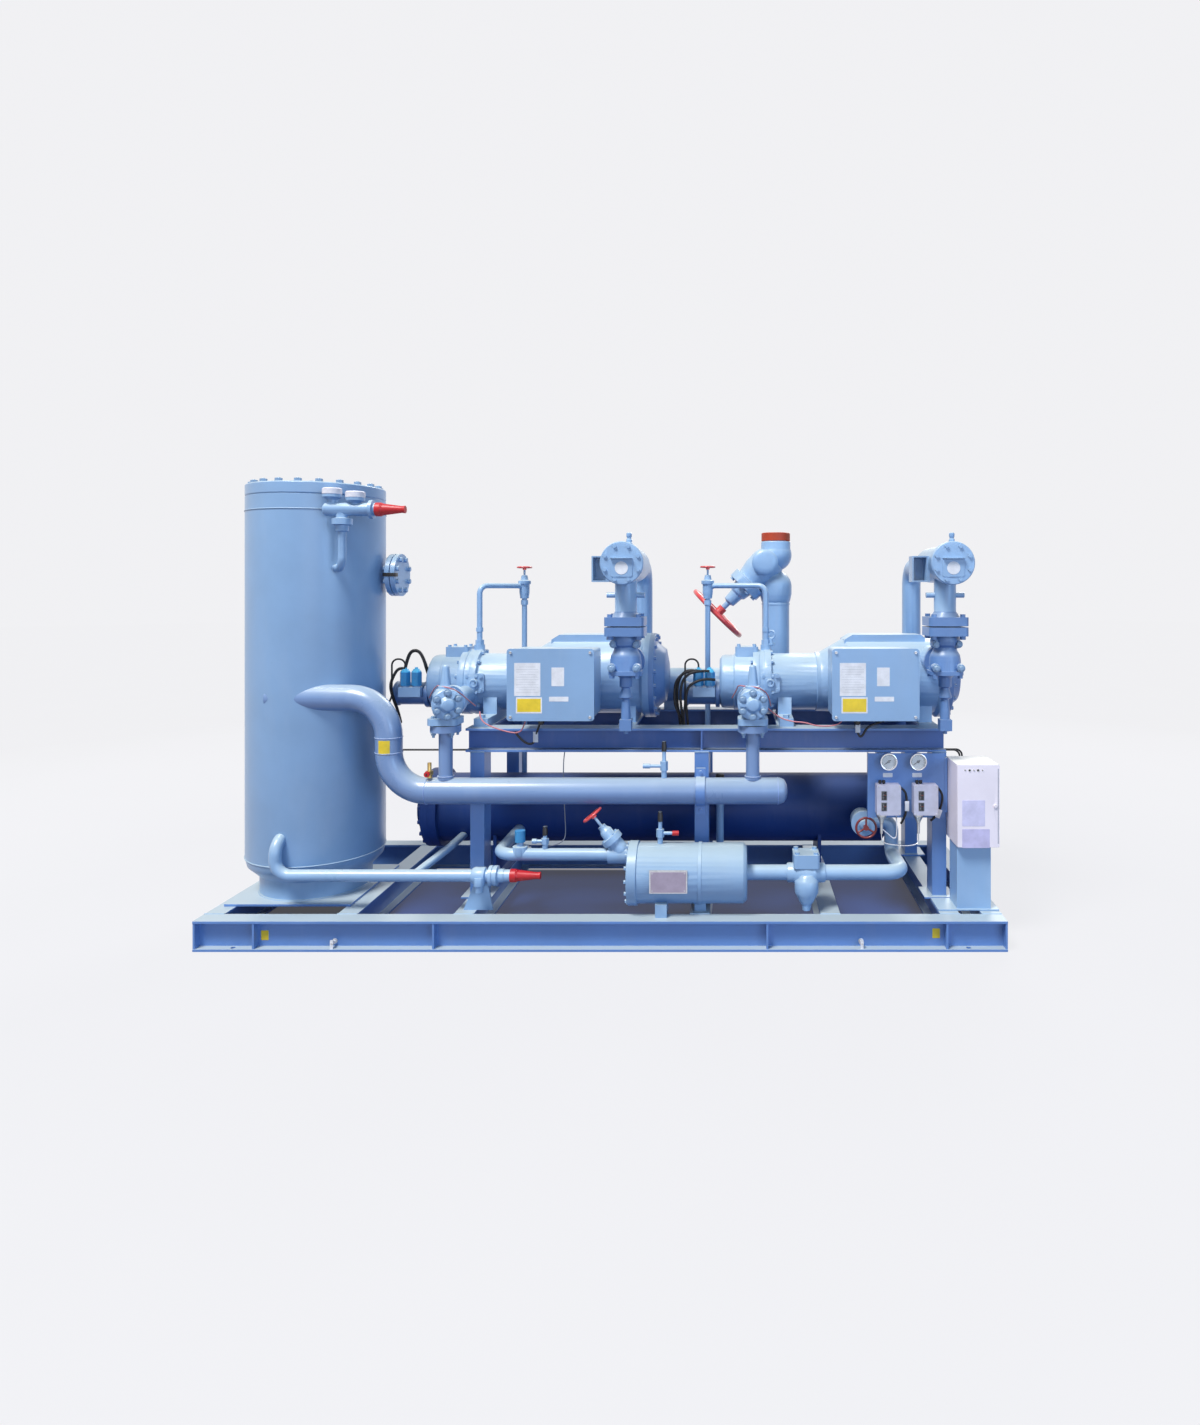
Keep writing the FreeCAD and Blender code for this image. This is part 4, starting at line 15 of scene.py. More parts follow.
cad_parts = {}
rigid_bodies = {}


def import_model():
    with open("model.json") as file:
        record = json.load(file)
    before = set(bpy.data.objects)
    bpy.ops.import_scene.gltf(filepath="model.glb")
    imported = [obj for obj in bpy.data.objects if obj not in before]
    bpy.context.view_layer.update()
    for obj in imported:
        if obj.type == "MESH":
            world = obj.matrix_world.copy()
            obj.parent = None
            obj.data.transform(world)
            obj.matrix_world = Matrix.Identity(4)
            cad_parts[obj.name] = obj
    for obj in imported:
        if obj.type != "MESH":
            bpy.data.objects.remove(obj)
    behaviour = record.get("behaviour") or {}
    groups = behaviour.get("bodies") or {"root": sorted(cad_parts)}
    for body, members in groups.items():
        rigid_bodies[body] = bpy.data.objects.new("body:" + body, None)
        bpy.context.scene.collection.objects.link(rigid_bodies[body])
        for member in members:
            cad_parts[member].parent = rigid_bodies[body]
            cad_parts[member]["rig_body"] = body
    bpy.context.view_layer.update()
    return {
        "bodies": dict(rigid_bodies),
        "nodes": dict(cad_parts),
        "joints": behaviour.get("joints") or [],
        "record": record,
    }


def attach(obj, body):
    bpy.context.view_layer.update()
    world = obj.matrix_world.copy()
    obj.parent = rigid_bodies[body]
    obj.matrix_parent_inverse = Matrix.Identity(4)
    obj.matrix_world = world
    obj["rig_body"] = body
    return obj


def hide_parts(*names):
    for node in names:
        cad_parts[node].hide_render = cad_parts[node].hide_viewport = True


LOG = logging.getLogger("compressor_unit")
Colour = tuple[float, float, float]
Point = tuple[float, float, float]
Route = Sequence[Point]
RIGHT, UP, DOWN = Vector((1, 0, 0)), Vector((0, 0, 1)), Vector((0, 0, -1))
FRONT, BACK = Vector((0, -1, 0)), Vector((0, 1, 0))
ROOT_BODY = "unit"
MM = 0.001
MARGIN = 0.2 * MM
PIECE_SMOOTH = 35.0
SKIN_SMOOTH = 32.0


# Shader maths

class Wire:
    """A shader socket, or a plain number, that adds Math nodes where it is calculated with.

    Sums and products are the same with the number first, so their reflected forms are the plain ones.
    """

    def __init__(self, net: "Net", value: Any) -> None:
        """Keep the tree that new nodes go into, and an output socket or a number."""
        self.net = net
        self.value = value

    def math(self, operation: str, *others: Any) -> "Wire":
        """Join this value with others in one Math node.

        Args:
            operation: Name of the Math node's operation.
            others: Further values, in the order of the node's inputs.

        Returns:
            The node's result.
        """
        values = dict(enumerate((self, *others)))
        return self.net.add("ShaderNodeMath", {"operation": operation}, values)

    def __add__(self, other: Any) -> "Wire":
        """Sum."""
        return self.math("ADD", other)

    def __sub__(self, other: Any) -> "Wire":
        """Difference."""
        return self.math("SUBTRACT", other)

    def __rsub__(self, other: Any) -> "Wire":
        """Difference with the number first."""
        return Wire(self.net, other).math("SUBTRACT", self)

    def __mul__(self, other: Any) -> "Wire":
        """Product."""
        return self.math("MULTIPLY", other)

    __radd__, __rmul__ = __add__, __mul__


class Net:
    """Node tree of a material or of the world."""

    def __init__(self, owner: bpy.types.Material | bpy.types.World) -> None:
        """Keep the shader and the output that a new tree starts with.

        Args:
            owner: The new material or world.
        """
        owner.use_nodes = True
        self.owner = owner
        self.tree = owner.node_tree
        self.shader = next(node for node in self.tree.nodes if node.type in ("BSDF_PRINCIPLED", "BACKGROUND"))
        self.output = next(node for node in self.tree.nodes if node.type in ("OUTPUT_MATERIAL", "OUTPUT_WORLD"))

    @classmethod
    def of_material(cls, name: str) -> "Net":
        """The tree of a new material."""
        return cls(bpy.data.materials.new(name))

    def add(self, kind: str, settings: Mapping[str, Any] | None = None,
            inputs: Mapping[Any, Any] | None = None, result: Any = 0) -> Wire:
        """Add one node.

        Args:
            kind: Type of the node.
            settings: Its properties, set before its sockets.
            inputs: Values or links of its sockets, by name or number.
            result: Which output is given back.

        Returns:
            The chosen output.
        """
        node = self.tree.nodes.new(kind)
        for key, value in (settings or {}).items():
            setattr(node, key, value)
        for key, value in (inputs or {}).items():
            self.feed(node.inputs[key], value)
        return Wire(self, node.outputs[result])

    def feed(self, socket: bpy.types.NodeSocket, value: Any) -> None:
        """Link a socket or set its value.

        Args:
            socket: The input socket.
            value: A link, a socket, a number or a colour.
        """
        if isinstance(value, Wire):
            value = value.value
        if isinstance(value, bpy.types.NodeSocket):
            self.tree.links.new(value, socket)
        elif isinstance(value, (tuple, list)) and len(value) == 3 and socket.type == "RGBA":
            socket.default_value = (*value, 1.0)
        else:
            socket.default_value = value

    def place(self) -> Wire:
        """Position on the piece, in metres."""
        return self.add("ShaderNodeTexCoord", result="Object")

    def up(self) -> Wire:
        """How far the surface faces up: 1 on top, -1 underneath."""
        normal = self.add("ShaderNodeNewGeometry", result="Normal")
        return self.add("ShaderNodeSeparateXYZ", {}, {"Vector": normal}, "Z")

    def noise(self, scale: float, detail: float = 3.0, roughness: float = 0.5, stretch: Point = (1, 1, 1)) -> Wire:
        """Even noise over the piece.

        Args:
            scale: How many swells there are to a metre.
            detail: How many finer layers it holds.
            roughness: How strong they are.
            stretch: How much the pattern is squeezed along each axis.

        Returns:
            The noise, from 0 to 1 around 0.5.
        """
        at = self.add("ShaderNodeMapping", {}, {"Vector": self.place(), "Scale": stretch})
        return self.add("ShaderNodeTexNoise", {}, {"Vector": at, "Scale": scale, "Detail": detail,
                                                    "Roughness": roughness})

    def spread(self, value: Wire, low: float, high: float, out_low: float = 0.0, out_high: float = 1.0) -> Wire:
        """Map a range of values to another, held at its ends."""
        return self.add("ShaderNodeMapRange", {"clamp": True}, {
            "Value": value, "From Min": low, "From Max": high, "To Min": out_low, "To Max": out_high})

    def around(self, value: Wire, middle: float, less: float, more: float) -> Wire:
        """A number that varies with a noise, from that much less to that much more."""
        return self.spread(value, 0.3, 0.7, middle - less, middle + more)

    def mix(self, share: Any, first: Any, second: Any) -> Wire:
        """Blend two colours.

        Args:
            share: How much of the second there is.
            first: A colour or a link.
            second: A colour or a link.

        Returns:
            The blended colour.
        """
        factor, colour_a, colour_b, result = 0, 6, 7, 2
        return self.add("ShaderNodeMix", {"data_type": "RGBA"}, {factor: share, colour_a: first, colour_b: second},
                        result)

    def bump(self, height: Wire, depth: float) -> Wire:
        """Bumpy normal from a height between 0 and 1, that deep in metres."""
        return self.add("ShaderNodeBump", {}, {"Height": height, "Distance": depth, "Strength": 1.0})

    def seen(self) -> Wire:
        """1 where the camera sees the surface, straight, in gloss or through glass, and 0 elsewhere."""
        camera, glossy, through = (self.add("ShaderNodeLightPath", result=f"Is {ray} Ray")
                                   for ray in ("Camera", "Glossy", "Transmission"))
        return camera.math("MAXIMUM", glossy).math("MAXIMUM", through)

    def blend(self, share: Wire, second: Wire) -> None:
        """Show the shader, and another one by its share, on the surface."""
        both = self.add("ShaderNodeMixShader", {}, {0: share, 1: self.shader.outputs[0], 2: second})
        self.feed(self.output.inputs["Surface"], both)

    def shade(self, **sockets: Any) -> bpy.types.Material | bpy.types.World:
        """Set the shader's sockets, with underscores for spaces, and give the owner back."""
        for name, value in sockets.items():
            self.feed(self.shader.inputs[name.replace("_", " ")], value)
        return self.owner


def shade_of(colour: Colour, factor: float) -> Colour:
    """A colour made lighter or darker."""
    return tuple(min(1.0, channel * factor) for channel in colour)


# Finishes

@dataclass(frozen=True)
class Enamel:
    """Sprayed machine enamel over metal, smooth on plate and pipe and rough on castings."""

    name: str
    colour: Colour
    roughness: float = 0.36
    grain: float = 0.00012
    grain_scale: float = 260.0
    swell: float = 0.0
    dust: float = 0.16
    coat: float = 0.25
    # settled: share of a pale tint on faces that point up, painted light from above.
    painted_top_light: float = 0.70
    # deep: share of the shadow tint on faces that point down, painted shade.
    deep: float = 0.75
    gloss: float = 0.5
    shadow_tint: Colour = (0.40, 0.56, 0.86)
    top_light_tint: Colour = (0.42, 0.45, 0.34)

    def build(self) -> bpy.types.Material:
        """Make the material: paint, streaks of dust, painted shade underneath, painted light on top and worn
        specks.
        """
        net = Net.of_material(self.name)
        cloud = net.noise(3.1, 4.0, 0.55)
        streak = net.noise(9.0, 5.0, 0.6, (1.0, 1.0, 0.25))
        fine = net.noise(self.grain_scale, 2.0, 0.5)
        speck = net.noise(70.0, 4.0, 0.7)
        base = net.mix(net.spread(cloud, 0.34, 0.66), shade_of(self.colour, 0.93), shade_of(self.colour, 1.06))
        dusty = net.spread(streak, 0.52, 0.74, 0.0, self.dust)
        base = net.mix(dusty, base, tuple(0.55 * own + 0.30 for own in self.colour))
        up = net.up()
        # Painted shade: faces that point down take a darker, bluer tint.
        shadow = tuple(own * share for own, share in zip(self.colour, self.shadow_tint))
        base = net.mix(net.spread(up, -0.9, 0.1, self.deep, 0.0), base, shadow)
        # Painted light: faces that point up take a pale tint.
        top_light = tuple(0.4 * own + grey for own, grey in zip(self.colour, self.top_light_tint))
        base = net.mix(net.spread(up, 0.15, 0.95, 0.0, self.painted_top_light), base, top_light)
        worn = net.spread(speck, 0.70, 0.74, 0.0, 0.35)
        base = net.mix(worn, base, shade_of(self.colour, 0.62))
        height = fine
        if self.swell:
            height = fine * 0.35 + net.noise(self.grain_scale * 0.3, 5.0, 0.6) * self.swell
        rough = net.around(cloud, self.roughness, 0.05, 0.06) + dusty * 0.5
        return net.shade(Base_Color=base, Roughness=rough, Normal=net.bump(height, self.grain),
                         Coat_Weight=self.coat, Coat_Roughness=0.22, Specular_IOR_Level=self.gloss)


@dataclass(frozen=True)
class Metal:
    """Bare metal with fine tool marks."""

    name: str
    colour: Colour
    roughness: float = 0.32
    stain: float = 0.3
    mark_depth: float = 0.00006

    def build(self) -> bpy.types.Material:
        """Make the material."""
        net = Net.of_material(self.name)
        marks = net.noise(420.0, 3.0, 0.6, (1.0, 1.0, 6.0))
        cloud = net.noise(35.0, 4.0, 0.6)
        base = net.mix(net.spread(cloud, 0.45, 0.7, 0.0, self.stain), self.colour, shade_of(self.colour, 0.45))
        return net.shade(Base_Color=base, Metallic=1.0, Roughness=net.around(marks, self.roughness, 0.08, 0.12),
                         Normal=net.bump(marks, self.mark_depth))


@dataclass(frozen=True)
class Moulded:
    """Moulded plastic or rubber."""

    name: str
    colour: Colour
    roughness: float = 0.45
    scuff: float = 0.2
    grain: float = 0.00012
    grain_scale: float = 320.0

    def build(self) -> bpy.types.Material:
        """Make the material."""
        net = Net.of_material(self.name)
        fine = net.noise(self.grain_scale, 2.0, 0.5)
        cloud = net.noise(22.0, 4.0, 0.6)
        scuffed = net.spread(net.noise(60.0, 5.0, 0.7, (1.0, 0.3, 1.0)), 0.56, 0.72, 0.0, self.scuff)
        base = net.mix(net.spread(cloud, 0.35, 0.65), shade_of(self.colour, 0.9), shade_of(self.colour, 1.08))
        base = net.mix(scuffed, base, tuple(0.6 * own + 0.2 for own in self.colour))
        rough = net.around(cloud, self.roughness, 0.06, 0.08) + scuffed * 0.4
        return net.shade(Base_Color=base, Roughness=rough, Normal=net.bump(fine, self.grain))


@dataclass(frozen=True)
class Woven:
    """Wound glass fibre or varnished windings: fine threads around the axis."""

    name: str
    first: Colour
    second: Colour
    metallic: float = 0.0
    threads: float = 160.0
    thread_depth: float = 0.0004

    def build(self) -> bpy.types.Material:
        """Make the material."""
        net = Net.of_material(self.name)
        wave = net.add("ShaderNodeTexWave", {"wave_type": "BANDS", "bands_direction": "DIAGONAL"}, {
            "Vector": net.place(), "Scale": self.threads, "Distortion": 1.2, "Detail": 2.0})
        return net.shade(Base_Color=net.mix(wave, self.first, self.second), Metallic=self.metallic, Roughness=0.55,
                         Normal=net.bump(wave, self.thread_depth))


@dataclass(frozen=True)
class Clear:
    """Thin clear glass over a dial."""

    name: str
    colour: Colour = (0.95, 0.97, 1.0)

    def build(self) -> bpy.types.Material:
        """Make the material."""
        net = Net.of_material(self.name)
        film = net.noise(40.0, 3.0)
        return net.shade(Base_Color=self.colour, Roughness=net.spread(film, 0.3, 0.7, 0.02, 0.07),
                         Alpha=net.spread(film, 0.3, 0.7, 0.07, 0.11), IOR=1.45)


BLUE = (0.271, 0.434, 0.655)
CAST: Mapping[str, float] = {"grain": 0.0008, "grain_scale": 150.0, "swell": 0.9}
BEAD: Mapping[str, float] = {"grain": 0.002, "grain_scale": 320.0, "swell": 0.8}


class Finish(Enum):
    """Every finish on the unit."""

    FRAME = Enamel("frame_enamel", (0.128, 0.262, 0.580), roughness=0.40, grain_scale=120.0, grain=0.00025,
                   painted_top_light=0.95)
    # Painted shade: darker frame blue that stands in for the compressors' shadow on the deck beams' webs.
    FRAME_PAINTED_SHADE = Enamel("deck_enamel", (0.065, 0.145, 0.400), roughness=0.45, coat=0.1, painted_top_light=0.6)
    PLATE = Enamel("plate_enamel", BLUE, roughness=0.34)
    PIPE = Enamel("pipe_enamel", shade_of(BLUE, 1.04), roughness=0.31)
    HEADER = Enamel("header_enamel", (0.195, 0.310, 0.545), roughness=0.30, coat=0.4, painted_top_light=0.6)
    CASTING = Enamel("casting_enamel", shade_of(BLUE, 1.05), **CAST)
    # Painted shade: darker casting blue for castings that lie in other parts' shadow.
    CASTING_PAINTED_SHADE = Enamel("deep_casting", (0.125, 0.245, 0.500), roughness=0.40, painted_top_light=0.6, **CAST)
    FILTER = Enamel("filter_enamel", shade_of(BLUE, 0.96), roughness=0.30)
    BOLT_PAINT = Enamel("painted_bolts", shade_of(BLUE, 0.80), roughness=0.38)
    WELD = Enamel("weld_bead", shade_of(BLUE, 0.90), roughness=0.42, **BEAD)
    HEADER_WELD = Enamel("header_bead", (0.27, 0.39, 0.69), roughness=0.40, **BEAD)
    # Dark navy paint, darkened further as painted shade under the deck.
    VESSEL_NAVY_PAINTED_SHADE = Enamel("vessel_enamel", (0.014, 0.048, 0.20), roughness=0.50, coat=0.05, painted_top_light=0.10, dust=0.05,
                    gloss=0.2)
    CABINET = Enamel("cabinet_coat", (0.90, 0.82, 0.88), roughness=0.48, grain=0.0003, grain_scale=340.0,
                     dust=0.06, painted_top_light=0.9, deep=0.2)
    RED_ENAMEL = Enamel("red_enamel", (0.72, 0.045, 0.05), roughness=0.28, coat=0.5, painted_top_light=0.10, deep=0.4)
    # Painted shade: darker red for the handwheel that lies in shade under the deck.
    RED_PAINTED_SHADE = Enamel("dark_red_enamel", (0.20, 0.012, 0.016), roughness=0.40, painted_top_light=0.05)
    STEEL = Metal("machined_steel", (0.55, 0.56, 0.58))
    DARK_STEEL = Metal("dark_steel", (0.16, 0.165, 0.175), roughness=0.42)
    ZINC = Metal("zinc_plate", (0.62, 0.64, 0.68), roughness=0.28)
    CHROME = Metal("polished_case", (0.80, 0.81, 0.83), roughness=0.16, stain=0.1)
    BRASS = Metal("valve_brass", (0.62, 0.42, 0.16), roughness=0.30)
    RED_CAP = Moulded("red_cap", (0.53, 0.012, 0.018), roughness=0.42, scuff=0.08)
    ORANGE_CAP = Moulded("orange_cap", (0.43, 0.048, 0.014), roughness=0.5, scuff=0.08)
    COIL = Moulded("coil_body", (0.045, 0.27, 0.56), roughness=0.32)
    COIL_TOP = Moulded("coil_nut", (0.12, 0.62, 0.92), roughness=0.30)
    PALE_CAP = Moulded("pale_cover", (0.78, 0.76, 0.82))
    CONTROL = Moulded("control_case", (0.54, 0.54, 0.66), roughness=0.42)
    BLACK = Moulded("black_plastic", (0.007, 0.007, 0.010), roughness=0.42, scuff=0.04)
    RUBBER = Moulded("cable_sheath", (0.006, 0.006, 0.009), roughness=0.50, scuff=0.02)
    PINK_WIRE = Moulded("sensor_wire", (0.62, 0.22, 0.24), roughness=0.5)
    WHITE_TAG = Moulded("white_tag", (0.80, 0.80, 0.83), roughness=0.5, scuff=0.05)
    PRINT = Moulded("print_lines", (0.30, 0.31, 0.36), roughness=0.6, scuff=0.0)
    YELLOW = Moulded("yellow_label", (0.83, 0.60, 0.035), scuff=0.08)
    MAUVE = Moulded("mauve_plate", (0.40, 0.33, 0.42), roughness=0.35, scuff=0.1)
    LAVENDER = Moulded("label_place", (0.66, 0.63, 0.84), scuff=0.05)
    LILAC = Moulded("lower_place", (0.58, 0.54, 0.78), scuff=0.05)
    WINDOW = Moulded("dark_window", (0.02, 0.022, 0.03), roughness=0.18, scuff=0.0)
    DIAL = Moulded("dial_face", (0.86, 0.86, 0.84), roughness=0.5, scuff=0.02)
    INK = Moulded("dial_ink", (0.012, 0.012, 0.012), roughness=0.6, scuff=0.0)
    GLASS = Clear("gauge_glass")
    FIBRE = Woven("filter_fibre", (0.80, 0.77, 0.66), (0.62, 0.58, 0.47))
    COPPER = Woven("windings", (0.45, 0.16, 0.06), (0.22, 0.07, 0.03), metallic=0.6)

    def material(self) -> bpy.types.Material:
        """The finish's material, made the first time it is asked for."""
        return bpy.data.materials.get(self.value.name) or self.value.build()


# Pieces made with mesh operators

@dataclass(frozen=True)
class Patch:
    """Middle and size of a label or plate that faces the front."""

    x: float
    z: float
    wide: float
    high: float


def turn_to(axis: Vector) -> Matrix:
    """Rotation that points local Z along an axis."""
    return axis.to_track_quat("Z", "Y").to_matrix().to_4x4()


def put(name: str, data: bpy.types.ID) -> bpy.types.Object:
    """Make an object with some data and put it in the scene.

    Args:
        name: Name of the object.
        data: Its mesh, curve, lamp or camera.

    Returns:
        The object.
    """
    obj = bpy.data.objects.new(name, data)
    bpy.context.scene.collection.objects.link(obj)
    return obj


def from_bmesh(name: str, mesh: bmesh.types.BMesh) -> bpy.types.Mesh:
    """Turn a finished construction mesh into mesh data.

    Args:
        name: Name of the mesh.
        mesh: The construction mesh, which is freed.

    Returns:
        The mesh data.
    """
    data = bpy.data.meshes.new(name)
    mesh.to_mesh(data)
    mesh.free()
    return data


class Piece:
    """One piece under construction: a mesh and the finishes of its parts."""

    def __init__(self, name: str, finish: Finish) -> None:
        """Start an empty mesh.

        Args:
            name: Name of the piece.
            finish: Its first finish, which new faces take.
        """
        self.name = name
        self.mesh = bmesh.new()
        self.finishes = [finish]
        self.current = 0

    def use(self, finish: Finish) -> "Piece":
        """Give the faces that follow another finish.

        Args:
            finish: The finish.

        Returns:
            The piece.
        """
        if finish not in self.finishes:
            self.finishes.append(finish)
        self.current = self.finishes.index(finish)
        return self

    def _settle(self, verts: Iterable[bmesh.types.BMVert], at: Sequence[float],
                turn: Matrix | None = None) -> None:
        """Turn and move new vertices, and give their faces the current finish.

        Args:
            verts: The vertices.
            at: Where their origin goes.
            turn: How they are turned first.
        """
        verts = list(verts)
        matrix = Matrix.Translation(Vector(at)) @ (turn or Matrix.Identity(4))
        bmesh.ops.transform(self.mesh, matrix=matrix, verts=verts)
        for face in {face for vert in verts for face in vert.link_faces}:
            face.material_index = self.current

    def rod(self, at: Sequence[float], axis: Vector, radius: float, length: float, sides: int = 24,
            end_radius: float | None = None) -> "Piece":
        """Add a rod or a cone that starts at a point and runs along an axis.

        Args:
            at: Where it starts.
            axis: Its direction.
            radius: Radius at the start.
            length: Its length.
            sides: How many sides it has.
            end_radius: Radius at the end, where it differs.

        Returns:
            The piece.
        """
        made = bmesh.ops.create_cone(self.mesh, cap_ends=True, segments=sides, radius1=radius,
                                     radius2=radius if end_radius is None else end_radius, depth=length)
        bmesh.ops.translate(self.mesh, verts=made["verts"], vec=(0, 0, length / 2))
        self._settle(made["verts"], at, turn_to(axis))
        return self

    def ball(self, at: Sequence[float], radius: float, sides: int = 10) -> "Piece":
        """Add a ball.

        Args:
            at: Its middle.
            radius: Its radius.
            sides: How many sides it has.

        Returns:
            The piece.
        """
        made = bmesh.ops.create_uvsphere(self.mesh, u_segments=sides, v_segments=sides // 2, radius=radius)
        self._settle(made["verts"], at)
        return self

    def block(self, at: Sequence[float], span: Sequence[float], round_by: float = 0.0) -> "Piece":
        """Add a block that is centred on a point, with its edges rounded.

        Args:
            at: Its middle.
            span: Its size along each axis.
            round_by: Radius of its edges.

        Returns:
            The piece.
        """
        made = bmesh.ops.create_cube(self.mesh, size=1.0)
        verts = made["verts"]
        bmesh.ops.scale(self.mesh, vec=span, verts=verts)
        if round_by:
            edges = list({edge for vert in verts for edge in vert.link_edges})
            rounded = bmesh.ops.bevel(self.mesh, geom=edges, offset=round_by, segments=2, profile=0.5,
                                      affect="EDGES", material=-1, clamp_overlap=True)
            verts = list({vert for face in rounded["faces"] for vert in face.verts}
                         | {vert for vert in verts if vert.is_valid})
        self._settle(verts, at)
        return self

    def lathe(self, at: Sequence[float], axis: Vector, outline: Sequence[tuple[float, float]],
              sides: int = 48) -> "Piece":
        """Spin an outline of (radius, distance) points round an axis.

        Args:
            at: Where distance 0 lies.
            axis: The axis that distances run along.
            outline: The points, from one end to the other.
            sides: How many steps the turn has.

        Returns:
            The piece.
        """
        verts = [self.mesh.verts.new((radius, 0.0, distance)) for radius, distance in outline]
        edges = [self.mesh.edges.new(pair) for pair in zip(verts, verts[1:])]
        bmesh.ops.spin(self.mesh, geom=[*verts, *edges], cent=(0, 0, 0), axis=(0, 0, 1),
                       angle=2 * math.pi, steps=sides, use_merge=True, use_duplicate=False)
        faces = self._grown(verts)
        self._settle({vert for face in faces for vert in face.verts}, at, turn_to(axis))
        return self

    def ring(self, at: Sequence[float], axis: Vector, radius: float, thick: float, sides: int = 48) -> "Piece":
        """Add a round bead round an axis.

        Args:
            at: Middle of the ring.
            axis: Its axis.
            radius: Radius of the ring.
            thick: Radius of the bead.
            sides: How many steps the ring has.

        Returns:
            The piece.
        """
        turns = (2 * math.pi * step / 8 for step in range(9))
        return self.lathe(at, axis, [(radius + thick * math.cos(turn), thick * math.sin(turn)) for turn in turns],
                          sides)

    def wrap(self, at: Sequence[float], axis: Vector, facing: Vector, radius: float, width: float, height: float,
             thickness: float) -> "Piece":
        """Add a thin label bent round a pipe.

        Args:
            at: Point on the pipe's axis.
            axis: Axis of the pipe.
            facing: Direction of the label's middle from the axis.
            radius: Radius of its back face.
            width: Width along the arc.
            height: Height along the axis.
            thickness: Its thickness.

        Returns:
            The piece.
        """
        made = bmesh.ops.create_grid(self.mesh, x_segments=24, y_segments=1, size=0.5)
        side = axis.cross(facing).normalized()
        for vert in made["verts"]:
            angle = vert.co.x * width / radius
            out = facing * math.cos(angle) + side * math.sin(angle)
            vert.co = out * (radius + thickness) + axis * (vert.co.y * height)
        self._settle(made["verts"], at)
        return self

    @staticmethod
    def _grown(seeds: Iterable[bmesh.types.BMVert]) -> set[bmesh.types.BMFace]:
        """Find all the faces that hang together with some vertices.

        Args:
            seeds: The vertices.

        Returns:
            The faces.
        """
        found: set[bmesh.types.BMFace] = set()
        waiting = [face for vert in seeds if vert.is_valid for face in vert.link_faces]
        while waiting:
            face = waiting.pop()
            if face not in found:
                found.add(face)
                waiting += [other for edge in face.edges for other in edge.link_faces if other not in found]
        return found

    def sheet(self, at: Sequence[float], normal: Vector, up: Vector, width: float, height: float,
              thickness: float, corner: float = 0.0) -> "Piece":
        """Add a flat plate on a surface.

        Args:
            at: Middle of its back face.
            normal: Direction that it faces.
            up: Direction of its height.
            width: Its width.
            height: Its height.
            thickness: How far it stands out.
            corner: Radius of its corners.

        Returns:
            The piece.
        """
        side = up.cross(normal).normalized()
        turn = Matrix((side, up, normal)).transposed().to_4x4()
        made = bmesh.ops.create_cube(self.mesh, size=1.0)
        verts = made["verts"]
        bmesh.ops.scale(self.mesh, vec=(width, height, thickness), verts=verts)
        if corner:
            edges = [edge for edge in {edge for vert in verts for edge in vert.link_edges}
                     if abs(edge.verts[0].co.z - edge.verts[1].co.z) > thickness / 2]
            rounded = bmesh.ops.bevel(self.mesh, geom=edges, offset=corner, segments=4, profile=0.5,
                                      affect="EDGES", material=-1)
            seeds = (vert for face in rounded["faces"] for vert in face.verts)
            verts = list({vert for face in self._grown(seeds) for vert in face.verts})
        bmesh.ops.translate(self.mesh, verts=verts, vec=(0, 0, thickness / 2))
        self._settle(verts, at, turn)
        return self

    def patch(self, patch: Patch, y: float, thickness: float, corner: float = 0.0, base: float = 0.0) -> "Piece":
        """Add a plate that faces the front, from a depth y and moved by base along the unit."""
        return self.sheet((base + patch.x, y, patch.z), FRONT, UP, patch.wide, patch.high, thickness, corner)

    def hex_bolt(self, at: Vector, axis: Vector, size: float) -> "Piece":
        """Add a bolt head with its washer and a rounded top.

        Args:
            at: Middle of the washer's back face.
            axis: Direction that the head points to.
            size: Half its width across corners.

        Returns:
            The piece.
        """
        head = at + axis * size * 0.16
        self.rod(at, axis, size * 1.28, size * 0.16, 20)
        self.rod(head, axis, size, size * 0.85, 6)
        return self.rod(head + axis * size * 0.85, axis, size * 0.82, size * 0.14, 12, size * 0.62)

    def conduit(self, points: Route, radius: float, pitch: float) -> "Piece":
        """Add corrugated conduit along a smooth line.

        Args:
            points: The points that the line runs by.
            radius: Radius of its ribs.
            pitch: Distance from rib to rib.

        Returns:
            The piece.
        """
        line = even_points(points, pitch)
        for start, end in zip(line, line[1:]):
            way = (end - start).normalized()
            self.rod(start, way, radius, pitch * 0.5, 10)
            self.rod(start + way * pitch * 0.4, way, radius * 0.8, pitch * 0.8, 10)
        return self

    def finish(self, slot: str, body: str = ROOT_BODY, bevel: float = 0.0, replaces: Sequence[str] = ()) -> None:
        """Turn the mesh into an object of the scene.

        Args:
            slot: The record's slot, handed to settle, which does not use it.
            body: The CAD body that it rides on.
            bevel: Width of the rounding of its sharp edges.
            replaces: CAD nodes that it stands for.
        """
        bmesh.ops.remove_doubles(self.mesh, verts=self.mesh.verts, dist=1e-6)
        bmesh.ops.recalc_face_normals(self.mesh, faces=self.mesh.faces)
        settle(from_bmesh(self.name, self.mesh), self.finishes, body, slot, PIECE_SMOOTH, bevel, replaces)


